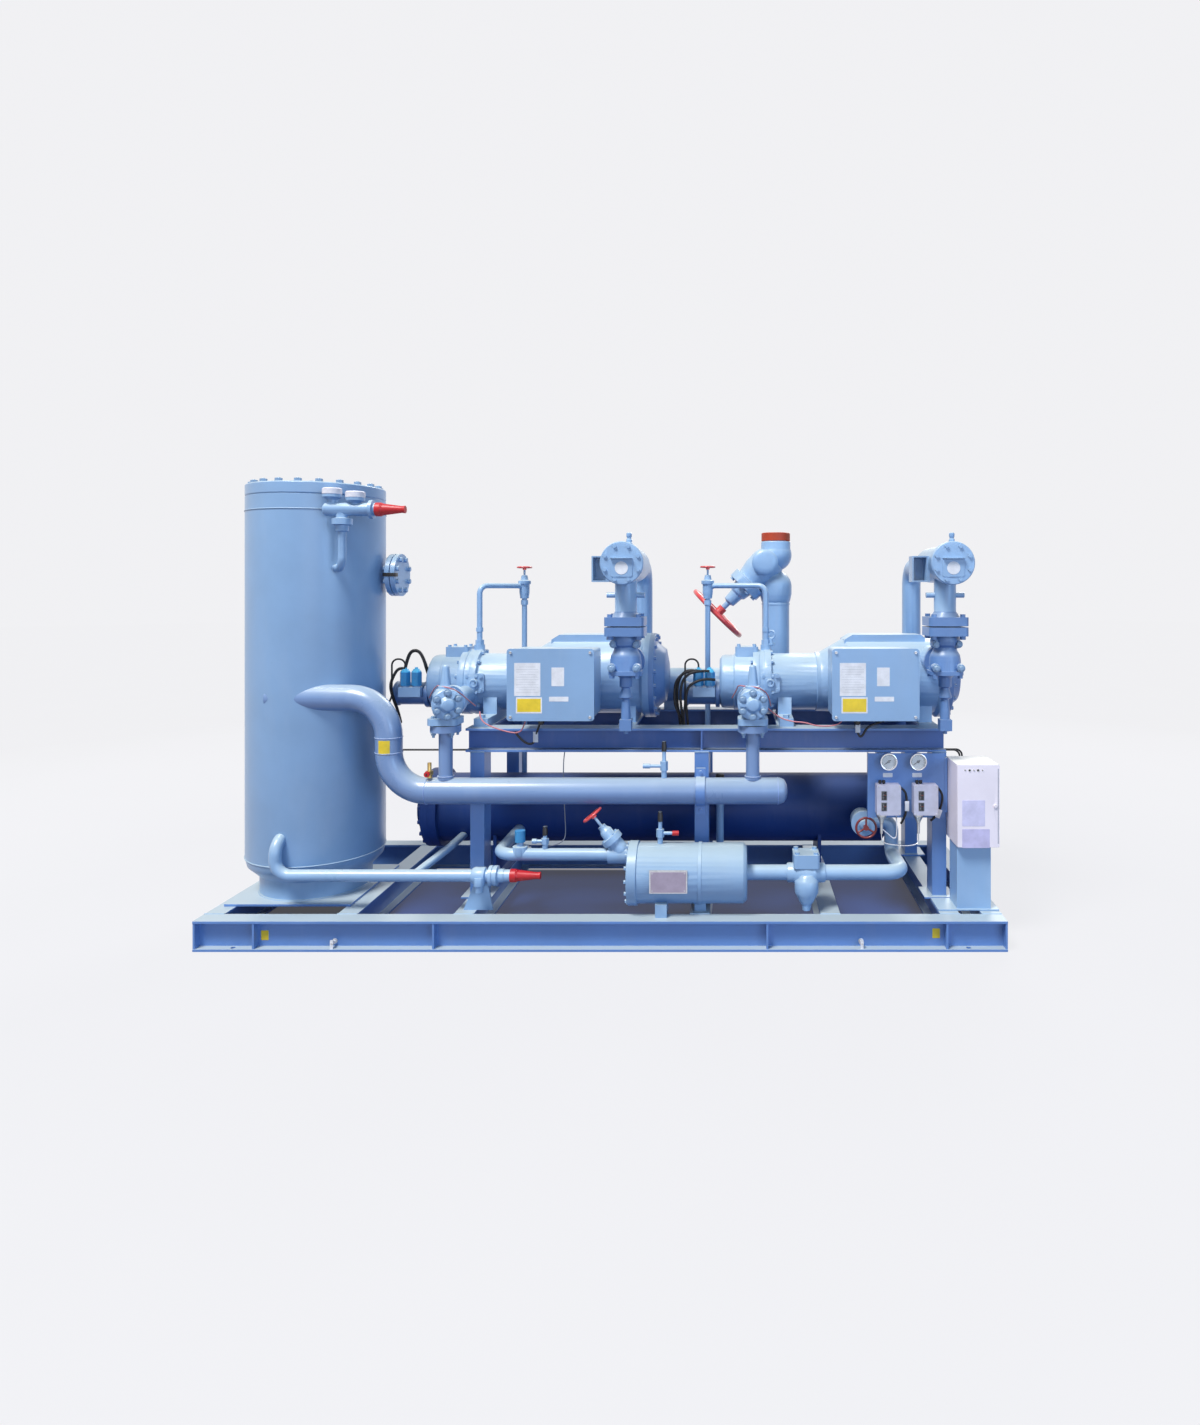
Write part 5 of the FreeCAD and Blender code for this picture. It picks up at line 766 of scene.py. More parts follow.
def settle(data: bpy.types.Mesh, finishes: Sequence[Finish], body: str, slot: str, smooth: float, bevel: float,
           replaces: Sequence[str]) -> None:
    """Make an object from a mesh, smooth it and hand it to the frame.

    Args:
        data: The mesh, in its place, which gives the object its name.
        finishes: Its finishes in the order of its faces' numbers.
        body: The CAD body that it rides on.
        slot: The record's slot; not used.
        smooth: Edges flatter than this many degrees look smooth.
        bevel: Width of the rounding of its sharp edges.
        replaces: CAD nodes that it stands for.
    """
    for finish in finishes:
        data.materials.append(finish.material())
    data.polygons.foreach_set("use_smooth", [True] * len(data.polygons))
    data.set_sharp_from_angle(angle=math.radians(smooth))
    obj = put(data.name, data)
    if bevel:
        soften = obj.modifiers.new("edges", "BEVEL")
        soften.width = bevel
        soften.segments = 2
        soften.limit_method = "ANGLE"
        soften.angle_limit = math.radians(smooth + 5)
        soften.harden_normals = True
    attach(obj, body)
    if replaces:
        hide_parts(*replaces)
    LOG.info("%s on %s: %d faces", obj.name, body, len(data.polygons))


def lead_curve(name: str, runs: Sequence[Route], radius: float) -> bpy.types.Curve:
    """Smooth round leads through their points.

    Args:
        name: Name of the curve.
        runs: The points of each lead.
        radius: Their radius, or 0 for bare lines.

    Returns:
        The curve's data.
    """
    data = bpy.data.curves.new(name, "CURVE")
    data.dimensions = "3D"
    data.bevel_depth = radius
    data.bevel_resolution = 3
    data.use_fill_caps = True
    data.resolution_u = 10
    for points in runs:
        spline = data.splines.new("NURBS")
        spline.points.add(len(points) - 1)
        for knot, spot in zip(spline.points, points):
            knot.co = (*spot, 1.0)
        spline.order_u = 3
        spline.use_endpoint_u = True
    return data


def leads(name: str, finish: Finish, runs: Sequence[Route], radius: float) -> None:
    """Make smooth leads or thin tubes that the unit holds at both ends.

    Args:
        name: Name of the piece.
        finish: Its finish.
        runs: The points of each lead.
        radius: Their radius.
    """
    data = lead_curve(name, runs, radius)
    data.materials.append(finish.material())
    obj = put(name, data)
    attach(obj, ROOT_BODY)
    LOG.info("%s on %s: %d leads", name, ROOT_BODY, len(runs))


def even_points(points: Route, spacing: float) -> list[Vector]:
    """Lay points at an even distance along the smooth line through some points.

    Args:
        points: The points that the line runs by.
        spacing: The distance.

    Returns:
        The points on the line.
    """
    data = lead_curve("line", [points], 0.0)
    carrier = bpy.data.objects.new("line", data)
    mesh = bpy.data.meshes.new_from_object(carrier)
    line = [vert.co.copy() for vert in mesh.vertices]
    bpy.data.objects.remove(carrier)
    bpy.data.meshes.remove(mesh)
    found, last = [line[0]], line[0]
    for spot in line[1:]:
        while (spot - last).length >= spacing:
            last = last + (spot - last).normalized() * spacing
            found.append(last)
    return found


# Sub-assemblies

def corners(half_width: float, half_height: float) -> list[tuple[float, float]]:
    """The four corners of a rectangle round 0."""
    return [(across * half_width, along * half_height) for across in (-1, 1) for along in (-1, 1)]


def moved(route: Route, x: float, y: float = 0.0) -> list[Point]:
    """A route moved along X and Y."""
    return [(spot[0] + x, spot[1] + y, spot[2]) for spot in route]


@dataclass(frozen=True)
class Zone:
    """A box of a CAD node that takes another finish."""

    finish: Finish
    low: Point = (-9.0, -9.0, -9.0)
    high: Point = (9.0, 9.0, 9.0)

    def holds(self, spot: Vector) -> bool:
        """Whether a point lies in the box."""
        return all(low <= value <= high for low, value, high in zip(self.low, spot, self.high))


@dataclass
class Assembly:
    """A sub-assembly, which dresses its CAD nodes and adds the pieces around them."""

    frame: Mapping[str, Any]
    merge: float = 0.002 * MM
    flat: float = 0.25
    edge: float = 1.2 * MM

    def build(self) -> None:
        """Dress the nodes and make the pieces."""
        raise NotImplementedError

    def slot(self, node: str) -> str:
        """The record's material slot of a node."""
        return next(part["material_slot"] for part in self.frame["record"]["subparts"] if part["node"] == node)

    def bury(self, finish: Finish, *nodes: str) -> None:
        """Give sealed inner nodes their material only.

        Args:
            finish: Finish of the nodes.
            nodes: Their names.
        """
        for node in nodes:
            source = self.frame["nodes"][node]
            source.data.materials.clear()
            source.data.materials.append(finish.material())

    def dress(self, finish: Finish, *nodes: str, zones: Sequence[Zone] = ()) -> None:
        """Stand a merged copy with smooth faces and soft edges in for each node.

        Args:
            finish: Finish of the nodes.
            nodes: Their names.
            zones: Boxes of them that take another finish. The last one that holds a face counts.
        """
        finishes = [finish, *(zone.finish for zone in zones)]
        for node in nodes:
            self.bury(finish, node)
            mesh = bmesh.new()
            mesh.from_mesh(self.frame["nodes"][node].data)
            bmesh.ops.remove_doubles(mesh, verts=mesh.verts, dist=self.merge)
            bmesh.ops.dissolve_limit(mesh, angle_limit=math.radians(self.flat), use_dissolve_boundaries=False,
                                     verts=mesh.verts, edges=mesh.edges)
            for face in mesh.faces:
                middle = face.calc_center_median()
                face.material_index = max(
                    (index for index, zone in enumerate(zones, start=1) if zone.holds(middle)), default=0)
            settle(from_bmesh(node + "_skin", mesh), finishes, self.frame["nodes"][node]["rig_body"],
                   self.slot(node), SKIN_SMOOTH, self.edge, [node])


@dataclass
class BaseFrame(Assembly):
    """Base and deck frames with their welds, plates and earth studs."""

    base_top: float = 0.120
    flange_edge: float = 0.470
    flange: float = 0.080
    web_front: float = -0.514
    cross_members: Sequence[float] = (-1.560, -1.027, -0.560, 0.388, 0.912, 1.392, 1.560)
    posts: Sequence[float] = (-0.560, 0.388, 1.392)
    post_width: float = 0.060
    foot_thick: float = 0.008
    deck_beams: Sequence[float] = (-0.287, 0.300)
    deck_depth: float = 0.100
    deck_bottom: float = 0.735
    deck_web: tuple[float, float] = (0.744, 0.8255)
    bead: float = 0.003
    plates_at: Sequence[Patch] = (Patch(-1.334, 0.052, 0.030, 0.038), Patch(1.326, 0.060, 0.030, 0.038))
    stud_spots: Sequence[float] = (-1.056, 1.028)
    stud_height: float = 0.030
    stud_radius: float = 0.004
    stud_length: float = 0.032
    lock_nut: tuple[float, float] = (0.020, 0.007)
    tag_out: float = 0.030
    tag_drop: float = -0.004
    tag_size: tuple[float, float] = (0.012, 0.038)

    def build(self) -> None:
        """Dress the frames and add their small pieces."""
        self.dress(Finish.FRAME, "base_front_beam", "base_rear_beam", "base_cross_members")
        low, high = self.deck_web
        # Painted shade: the deck beams' webs take the darker frame blue.
        self.dress(Finish.FRAME, "front_portal", "rear_portal", zones=[
            Zone(Finish.FRAME_PAINTED_SHADE, (-9, -9, low), (9, 9, high))])
        self.welds()
        plates = Piece("beam_plates", Finish.YELLOW)
        for patch in self.plates_at:
            plates.patch(patch, self.web_front, 0.8 * MM, 3 * MM)
        plates.finish(slot="control_plastic")
        self.earth_studs()

    def welds(self) -> None:
        """Fillet welds where the cross members and the posts meet the beams."""
        beads = Piece("frame_welds", Finish.WELD)
        for x in self.cross_members:
            for y in (-self.flange_edge, self.flange_edge):
                beads.rod((x - self.flange / 2, y, self.base_top), RIGHT, self.bead, self.flange, 8)
        half, foot = self.post_width / 2, self.base_top + self.foot_thick
        for x in self.posts:
            for low in self.deck_beams:
                for y in (low, low + self.deck_depth):
                    for z in (foot, self.deck_bottom):
                        beads.rod((x - half, y, z), RIGHT, self.bead, self.post_width, 8)
                for side in (-half, half):
                    beads.rod((x + side, low, foot), BACK, self.bead, self.deck_depth, 8)
        beads.finish(slot="frame_paint")

    def earth_studs(self) -> None:
        """Earth studs with their pale tags on the front beam."""
        studs = Piece("earth_studs", Finish.ZINC)
        out, nut = self.lock_nut
        for x in self.stud_spots:
            at = Vector((x, self.web_front, self.stud_height))
            studs.use(Finish.ZINC).rod(at, FRONT, self.stud_radius, self.stud_length, 12)
            studs.hex_bolt(at, FRONT, 2 * self.stud_radius)
            studs.hex_bolt(at + FRONT * out, FRONT, nut)
            tag = Patch(x, self.stud_height + self.tag_drop, *self.tag_size)
            studs.use(Finish.WHITE_TAG).patch(tag, self.web_front - self.tag_out, 1.5 * MM, 3 * MM)
        studs.finish(slot="bolt_steel")


@dataclass
class Separator(Assembly):
    """Oil separator with its cover, relief valves and outlet."""

    x: float = -1.310
    y: float = -0.130
    radius: float = 0.280
    top: float = 1.868
    bolt_circle: float = 0.254
    bolt_count: int = 20
    bolt_size: float = 0.015
    washer: float = 0.002
    nut: float = 0.0115
    stud_end: float = 0.0028
    seams: tuple[float, float] = (0.285, 1.755)
    bead: float = 0.0028
    skirt_radius: float = 0.225
    skirt_foot: float = 0.130
    skirt_bead: float = 0.005
    outlet: Point = (-1.000, -0.080, 1.487)
    outlet_pipe: float = 0.039
    outlet_radius: float = 0.094
    rims: float = 0.044
    strap_width: float = 0.016
    relief_tops: Route = ((-1.117, -0.408, 1.833), (-1.022, -0.408, 1.819))
    relief_radius: float = 0.0375

    def build(self) -> None:
        """Dress the separator and add bolts, seams and caps."""
        self.dress(Finish.PLATE, "separator_shell", "separator_cover")
        self.dress(Finish.PIPE, "separator_outlet")
        self.dress(Finish.CASTING, "relief_valves")
        self.dress(Finish.RED_CAP, "relief_cap")
        self.bury(Finish.FIBRE, "coalescer_element")
        self.cover_studs()
        self.weld_seams()
        self.relief_caps()
        self.strap()

    def cover_studs(self) -> None:
        """Studs with nuts and washers round the cover."""
        studs = Piece("cover_studs", Finish.BOLT_PAINT)
        size = self.bolt_size
        for index in range(self.bolt_count):
            angle = 2 * math.pi * (index + 0.5) / self.bolt_count
            at = Vector((self.x + self.bolt_circle * math.cos(angle), self.y + self.bolt_circle * math.sin(angle),
                         self.top))
            studs.rod(at, UP, size * 1.2, self.washer, 20)
            studs.rod(at + UP * self.washer, UP, size, self.nut, 6)
            studs.rod(at + UP * (self.washer + self.nut), UP, size * 0.52, self.stud_end, 12, size * 0.42)
        studs.finish(slot="bolt_steel", bevel=0.6 * MM, replaces=["separator_cover_bolts"])

    def weld_seams(self) -> None:
        """Round seams of the shell and its skirt, and the seam along its back."""
        seams = Piece("separator_seams", Finish.WELD)
        low, high = self.seams
        for z in (low, high):
            seams.ring((self.x, self.y, z), UP, self.radius, self.bead, 96)
        seams.ring((self.x, self.y, self.skirt_foot), UP, self.skirt_radius, self.skirt_bead, 96)
        seams.rod((self.x - self.radius * 0.6, self.y + self.radius * 0.8, low), UP, self.bead, high - low, 8)
        reach = math.sqrt(self.radius ** 2 - (self.outlet[1] - self.y) ** 2) - 2 * MM
        seams.ring((self.x + reach, *self.outlet[1:]), RIGHT, self.outlet_pipe, 4 * MM, 40)
        seams.finish(slot="vessel_paint")

    def relief_caps(self) -> None:
        """Pale covers round the tops of the relief valves."""
        caps = Piece("relief_covers", Finish.PALE_CAP)
        wide = self.relief_radius
        outer = wide + 0.8 * MM
        for at in self.relief_tops:
            caps.lathe(at, UP, [(0.0, -0.004), (outer, -0.022), (outer, -0.001), (wide - 0.003, 0.0035),
                                (wide * 0.4, 0.0045), (0.0, 0.0045)])
        caps.finish(slot="control_plastic", bevel=0.6 * MM)

    def strap(self) -> None:
        """Black strap over the rims of the outlet flanges."""
        strap = Piece("outlet_strap", Finish.BLACK)
        x, y, z = self.outlet
        thick, ends, fold = 3 * MM, 4 * MM, 0.034
        front = y - self.outlet_radius - thick / 2
        strap.block((x + self.rims / 2, front, z), (self.rims + 0.010, thick, self.strap_width), MM)
        for end in (x - ends, x + self.rims + ends):
            strap.block((end, front + 0.016, z), (thick, fold, self.strap_width), MM)
        strap.finish(slot="cable_rubber")


@dataclass
class Discharge(Assembly):
    """Discharge header with its valves, and the small valves on it."""

    y: float = -0.380
    z: float = 0.593
    radius: float = 0.054
    bead: float = 0.0022
    drop_x: float = -0.896
    drop_bend: float = 0.160
    inlet_z: float = 0.975
    end: float = 0.705
    valve_x: Sequence[float] = (-0.662, 0.602)
    valve_turns: Sequence[float] = (math.radians(24), math.radians(0))
    drop_radius: float = 0.028
    flange_low: float = 0.838
    flange_thick: float = 0.027
    gasket: float = 0.004
    flange_bolt: float = 0.0375
    bolt_size: float = 0.010
    port_z: float = 0.956
    bonnet_reach: float = 0.075
    bonnet_circle: float = 0.048
    bonnet_bolt: float = 0.0128
    wire_starts: Sequence[Route] = (
        ((-0.156, -0.130, 0.945), (-0.120, -0.190, 0.985)), ((-0.0858, -0.130, 0.945), (-0.066, -0.190, 0.985)))
    wire_route: Route = (
        (-0.060, -0.300, 1.020), (-0.028, -0.380, 1.022), (0.0, -0.412, 1.026), (0.034, -0.400, 1.016),
        (0.060, -0.370, 0.992), (0.072, -0.320, 0.960), (0.080, -0.240, 0.925))
    wire_radius: float = 0.0026
    label_z: float = 0.779
    label_size: tuple[float, float] = (0.048, 0.058)
    brass_box: tuple[Point, Point] = ((-0.769, -0.460, 0.640), (-0.689, -0.350, 0.740))
    red_box: tuple[Point, Point] = ((0.272, -0.440, 0.410), (0.310, -0.380, 0.450))
    knob: Point = (-0.729, -0.408, 0.667)
    black_caps: Sequence[tuple[Point, float, float]] = (
        ((0.237, -0.380, 0.757), 0.0105, 0.0415), ((0.224, -0.412, 0.477), 0.0105, 0.0405),
        ((-0.246, -0.412, 0.421), 0.0105, 0.0365), ((0.462, -0.089, 0.560), 0.022, 0.042))

    def build(self) -> None:
        """Dress the discharge side and add its seams, label, bolts, caps and wires."""
        self.dress(Finish.HEADER, "discharge_header")
        self.dress(Finish.FRAME, "header_bracket")
        low = self.flange_low + self.flange_thick
        gasket = Zone(Finish.BLACK, (-9, -9, low + MARGIN), (9, 9, low + self.gasket - MARGIN))
        self.dress(Finish.CASTING, "discharge_valve_1", "discharge_valve_2", zones=[gasket])
        self.dress(Finish.CASTING, "service_valves", zones=[
            Zone(Finish.BRASS, *self.brass_box), Zone(Finish.RED_CAP, *self.red_box)])
        self.seams()
        label = Piece("header_label", Finish.YELLOW)
        label.wrap((self.drop_x, self.y, self.label_z), UP, FRONT, self.radius + 0.3 * MM, *self.label_size,
                   0.4 * MM)
        label.finish(slot="control_plastic")
        self.bolts()
        self.spindle_caps()
        for index, (x, start) in enumerate(zip(self.valve_x, self.wire_starts), start=1):
            leads(f"valve_wire_{index}", Finish.PINK_WIRE, [moved((*start, *self.wire_route), x)],
                  self.wire_radius)

    def spindle_caps(self) -> None:
        """Black caps on the small valves, and the brass valve's red knob."""
        caps = Piece("spindle_caps", Finish.BLACK)
        for at, radius, high in self.black_caps:
            caps.lathe(at, UP, [
                (0.0, -0.001), (radius, -0.001), (radius, high * 0.62), (radius * 0.86, high * 0.68),
                (radius * 0.86, high - 0.003), (radius * 0.6, high), (0.0, high)], 24)
        at = Vector(self.knob)
        caps.use(Finish.RED_CAP).rod(at, FRONT, 0.0125, 0.009, 10, 0.0115)
        caps.use(Finish.BLACK).ball(at + FRONT * 0.009, 0.004)
        caps.finish(slot="control_plastic", bevel=0.5 * MM)

    def seams(self) -> None:
        """Weld seams at the header's bends, drops and end."""
        seams = Piece("header_seams", Finish.HEADER_WELD)
        bend, y, z = self.drop_bend, self.y, self.z
        for at, axis in (((self.drop_x, y, self.inlet_z - bend), UP), ((self.drop_x, y, z + bend), UP),
                         ((self.drop_x + bend, y, z), RIGHT), ((self.end, y, z), RIGHT)):
            seams.ring(at, axis, self.radius, self.bead)
        for x in self.valve_x:
            seams.ring((x, y, z + self.radius + 8 * MM), UP, self.drop_radius + 4 * MM, 2.5 * MM, 32)
            seams.ring((x, y, self.flange_low), UP, self.drop_radius, 3 * MM, 32)
        seams.finish(slot="header_paint")

    def bolts(self) -> None:
        """Bolts of the flanges under the valves and of their bonnets."""
        bolts = Piece("discharge_bolts", Finish.BOLT_PAINT)
        top = self.flange_low + 2 * self.flange_thick + self.gasket
        size = self.bolt_size
        for x in self.valve_x:
            for dx, dy in corners(self.flange_bolt, self.flange_bolt):
                at = Vector((x + dx, self.y + dy, 0))
                bolts.hex_bolt(at + UP * self.flange_low, DOWN, size)
                bolts.rod(at + UP * (self.flange_low - 1.2 * size), DOWN, size * 0.55, size * 0.8, 12)
                bolts.hex_bolt(at + UP * top, UP, size)
        for x, turn in zip(self.valve_x, self.valve_turns):
            way = Vector((math.sin(turn), -math.cos(turn), 0))
            side = way.cross(UP).normalized()
            face = Vector((x, self.y, self.port_z)) + way * self.bonnet_reach
            for step in range(6):
                angle = math.pi * (step + 0.5) / 3
                arm = side * math.cos(angle) + way.cross(side) * math.sin(angle)
                bolts.hex_bolt(face + arm * self.bonnet_circle, way, self.bonnet_bolt)
        bolts.finish(slot="bolt_steel", bevel=0.5 * MM)


@dataclass
class Compressors(Assembly):
    """Both screw compressors with their motors, terminal boxes and solenoids."""

    spacing: float = 1.310
    box_left: float = -0.390
    box_width: float = 0.352
    box_bottom: float = 0.892
    box_height: float = 0.292
    box_front: float = -0.462
    box_base: float = 0.005
    screw_inset: float = 0.016
    cup: float = 0.004
    print_label: Patch = Patch(-0.3067, 1.060, 0.105, 0.133)
    yellow_label: Patch = Patch(-0.300, 0.956, 0.105, 0.065)
    small_label: Patch = Patch(-0.184, 1.0706, 0.051, 0.075)
    strip_label: Patch = Patch(-0.180, 0.981, 0.078, 0.019)
    print_rows: int = 11
    first_row: float = 0.016
    row_step: float = 0.0102
    coil: Point = (-0.919, -0.076, 0.987)
    coil_pitch: float = 0.050
    coil_zone: tuple[float, float] = (0.0035, 0.0585)
    coil_cap: float = 0.056
    arch: Route = (
        (-0.025, 0.0, 1.072), (-0.018, 0.0, 1.105), (0.002, -0.004, 1.150), (0.040, -0.004, 1.150),
        (0.062, 0.0, 1.100), (0.066, 0.010, 1.068), (0.072, 0.030, 1.030))
    drop: Route = (
        (-0.025, -0.004, 1.068), (-0.050, -0.010, 1.078), (-0.076, -0.016, 1.030), (-0.088, -0.014, 0.990),
        (-0.082, 0.010, 0.930), (-0.070, 0.030, 0.880), (-0.060, 0.040, 0.820))
    hanging: Sequence[tuple[float, float, float, float]] = (
        (-0.046, -0.122, -0.108, 0.0), (-0.020, -0.132, -0.092, -0.026), (0.024, -0.104, -0.086, -0.044))
    side_lead: Route = (
        (0.050, -0.030, 1.022), (0.004, -0.040, 1.030), (-0.062, -0.046, 1.004), (-0.080, -0.050, 0.960),
        (-0.076, -0.050, 0.880), (-0.066, -0.050, 0.800))
    rib: float = 0.005
    eye: Point = (0.694, 0.020, 1.215)
    red_wires: Sequence[Route] = (
        ((-0.560, -0.250, 0.900), (-0.545, -0.300, 0.870), (-0.485, -0.315, 0.843), (-0.413, -0.320, 0.823),
         (-0.372, -0.326, 0.823), (-0.350, -0.340, 0.850), (-0.336, -0.350, 0.896)),
        ((-0.640, -0.250, 0.915), (-0.602, -0.300, 0.886), (-0.543, -0.316, 0.868), (-0.488, -0.320, 0.866),
         (-0.438, -0.322, 0.850), (-0.372, -0.326, 0.851), (-0.336, -0.340, 0.868), (-0.326, -0.350, 0.896)))
    red_radius: float = 0.0028
    black_leads: Sequence[Route] = (
        ((-0.392, -0.320, 0.826), (-0.372, -0.322, 0.800), (-0.340, -0.322, 0.775), (-0.311, -0.322, 0.778),
         (-0.302, -0.324, 0.820), (-0.288, -0.338, 0.850), (-0.276, -0.352, 0.880)),
        ((-0.288, -0.324, 0.900), (-0.276, -0.324, 0.850), (-0.262, -0.322, 0.806), (-0.248, -0.322, 0.808),
         (-0.226, -0.322, 0.850), (-0.180, -0.318, 0.864), (-0.150, -0.300, 0.872), (-0.130, -0.260, 0.880)))
    black_radius: float = 0.0048
    tags: Route = ((-0.304, -0.3285, 0.806), (-0.268, -0.3285, 0.846))
    tag_size: Point = (0.021, 0.0024, 0.044)

    def build(self) -> None:
        """Dress the compressors and add labels, screws, wires, coil caps and leads."""
        self.dress(Finish.CASTING, "rotor_housing_1", "rotor_housing_2", "motor_housing_1", "motor_housing_2")
        # Painted shade: end covers and slide cylinders take the darker casting blue.
        self.dress(Finish.CASTING_PAINTED_SHADE, "end_covers", "slide_cylinders")
        self.dress(Finish.PLATE, "terminal_boxes", zones=[
            Zone(Finish.BLACK, high=(9, 9, self.box_bottom + self.box_base))])
        foot, top = (self.coil[2] + reach for reach in self.coil_zone)
        self.dress(Finish.COIL, "solenoid_coils", zones=[
            Zone(Finish.CASTING, high=(9, 9, foot)), Zone(Finish.COIL_TOP, low=(-9, -9, top))])
        self.bury(Finish.DARK_STEEL, "male_rotor_1", "male_rotor_2", "female_rotor_1", "female_rotor_2",
                  "slide_valve_1", "slide_valve_2")
        self.bury(Finish.COPPER, "motor_stators")
        for index in (1, 2):
            base = (index - 1) * self.spacing
            self.labels(index, base)
            self.box_screws(index, base)
            self.box_wires(index, base)
        self.coil_caps()
        self.coil_leads()
        self.eye_bolt()

    def labels(self, index: int, base: float) -> None:
        """Bare labels on a terminal box: a pale sheet with thin rules, and a yellow one in a white rim.

        Args:
            index: Number of the compressor.
            base: How far it stands from the first along the unit.
        """
        labels = Piece(f"box_labels_{index}", Finish.WHITE_TAG)
        thick, front = 0.4 * MM, self.box_front
        for patch in (self.print_label, self.small_label, self.strip_label, self.yellow_label):
            labels.patch(patch, front, thick, 2 * MM, base)
        front -= thick
        sheet = self.yellow_label
        inner = Patch(sheet.x, sheet.z, sheet.wide - 0.010, sheet.high - 0.012)
        labels.use(Finish.YELLOW).patch(inner, front, 0.2 * MM, MM, base)
        sheet = self.print_label
        top = sheet.z + sheet.high / 2 - self.first_row
        labels.use(Finish.PRINT)
        for row in range(self.print_rows):
            wide = sheet.wide * (0.86 if row % 3 else 0.62)
            labels.patch(Patch(sheet.x, top - row * self.row_step, wide, 0.6 * MM), front, 0.1 * MM, 0.0, base)
        labels.finish(slot="control_plastic")

    def box_screws(self, index: int, base: float) -> None:
        """Captive screws in the corners of a terminal box.

        Args:
            index: Number of the compressor.
            base: How far it stands from the first along the unit.
        """
        screws = Piece(f"box_screws_{index}", Finish.ZINC)
        for dx, dz in corners(self.box_width / 2 - self.screw_inset, self.box_height / 2 - self.screw_inset):
            at = Vector((base + self.box_left + self.box_width / 2 + dx, self.box_front - self.cup,
                         self.box_bottom + self.box_height / 2 + dz))
            screws.use(Finish.ZINC).rod(at, FRONT, 6.2 * MM, 2 * MM, 20, 5 * MM)
            screws.use(Finish.BLACK).block(at + FRONT * 2.1 * MM, (9 * MM, 0.6 * MM, 1.4 * MM))
        screws.finish(slot="bolt_steel")

    def box_wires(self, index: int, base: float) -> None:
        """Red wire and tagged black lead that hang under a terminal box.

        Args:
            index: Number of the compressor.
            base: How far it stands from the first along the unit.
        """
        place = index - 1
        leads(f"box_wire_{index}", Finish.PINK_WIRE, [moved(self.red_wires[place], base)], self.red_radius)
        leads(f"box_lead_{index}", Finish.RUBBER, [moved(self.black_leads[place], base)], self.black_radius)
        marker = Piece(f"box_tag_{index}", Finish.WHITE_TAG)
        marker.block(moved([self.tags[place]], base)[0], self.tag_size, MM)
        marker.finish(slot="control_plastic")

    def coil_caps(self) -> None:
        """Bright round caps on the solenoids, with their nuts."""
        caps = Piece("coil_caps", Finish.COIL_TOP)
        x, y, z = self.coil
        for base in (0.0, self.spacing):
            for pitch in (-self.coil_pitch / 2, self.coil_pitch / 2):
                at = Vector((x + base + pitch, y, z + self.coil_cap))
                caps.use(Finish.COIL_TOP).lathe(at, UP, [
                    (0.0, 0.0), (0.0195, 0.0), (0.0205, 0.002), (0.0205, 0.008), (0.0175, 0.0095), (0.0205, 0.011),
                    (0.0205, 0.015), (0.0160, 0.019), (0.0, 0.019)], 40)
                caps.use(Finish.COIL).rod(at + UP * 0.0185, UP, 7.5 * MM, 6 * MM, 6)
        caps.finish(slot="coil_plastic", bevel=0.5 * MM)

    def coil_leads(self) -> None:
        """Corrugated leads at the solenoids: an arch and a drop on the left, a hanging bundle on the right."""
        x, y, _ = self.coil
        first = Piece("coil_leads_1", Finish.RUBBER)
        first.conduit(moved(self.arch, x, y), 7.8 * MM, self.rib)
        first.conduit(moved(self.drop, x, y), 7.0 * MM, self.rib)
        first.finish(slot="cable_rubber")
        second = Piece("coil_leads_2", Finish.RUBBER)
        x += self.spacing
        for start, bow, foot, deep in self.hanging:
            second.conduit(moved([
                (start, deep * 0.6, 1.060), (start * 0.5 - 0.055, deep, 1.064), (bow + 0.012, deep, 1.030),
                (bow, deep, 0.970), (bow * 0.97, deep, 0.900), (foot, deep, 0.840), (foot + 0.006, deep, 0.780)],
                x, y), 6.6 * MM, self.rib)
        second.conduit(moved(self.side_lead, x, y), 6.6 * MM, self.rib)
        second.finish(slot="cable_rubber")

    def eye_bolt(self) -> None:
        """Lifting eye behind the seam of the right compressor's housing."""
        eye = Piece("lifting_eye", Finish.CASTING)
        at = Vector(self.eye)
        eye.rod(at + DOWN * 0.052, UP, 10 * MM, 36 * MM, 16)
        eye.rod(at + DOWN * 0.046, UP, 18 * MM, 8 * MM, 20)
        eye.ring(at, FRONT, 17 * MM, 5.2 * MM, 32)
        eye.finish(slot="machine_paint")


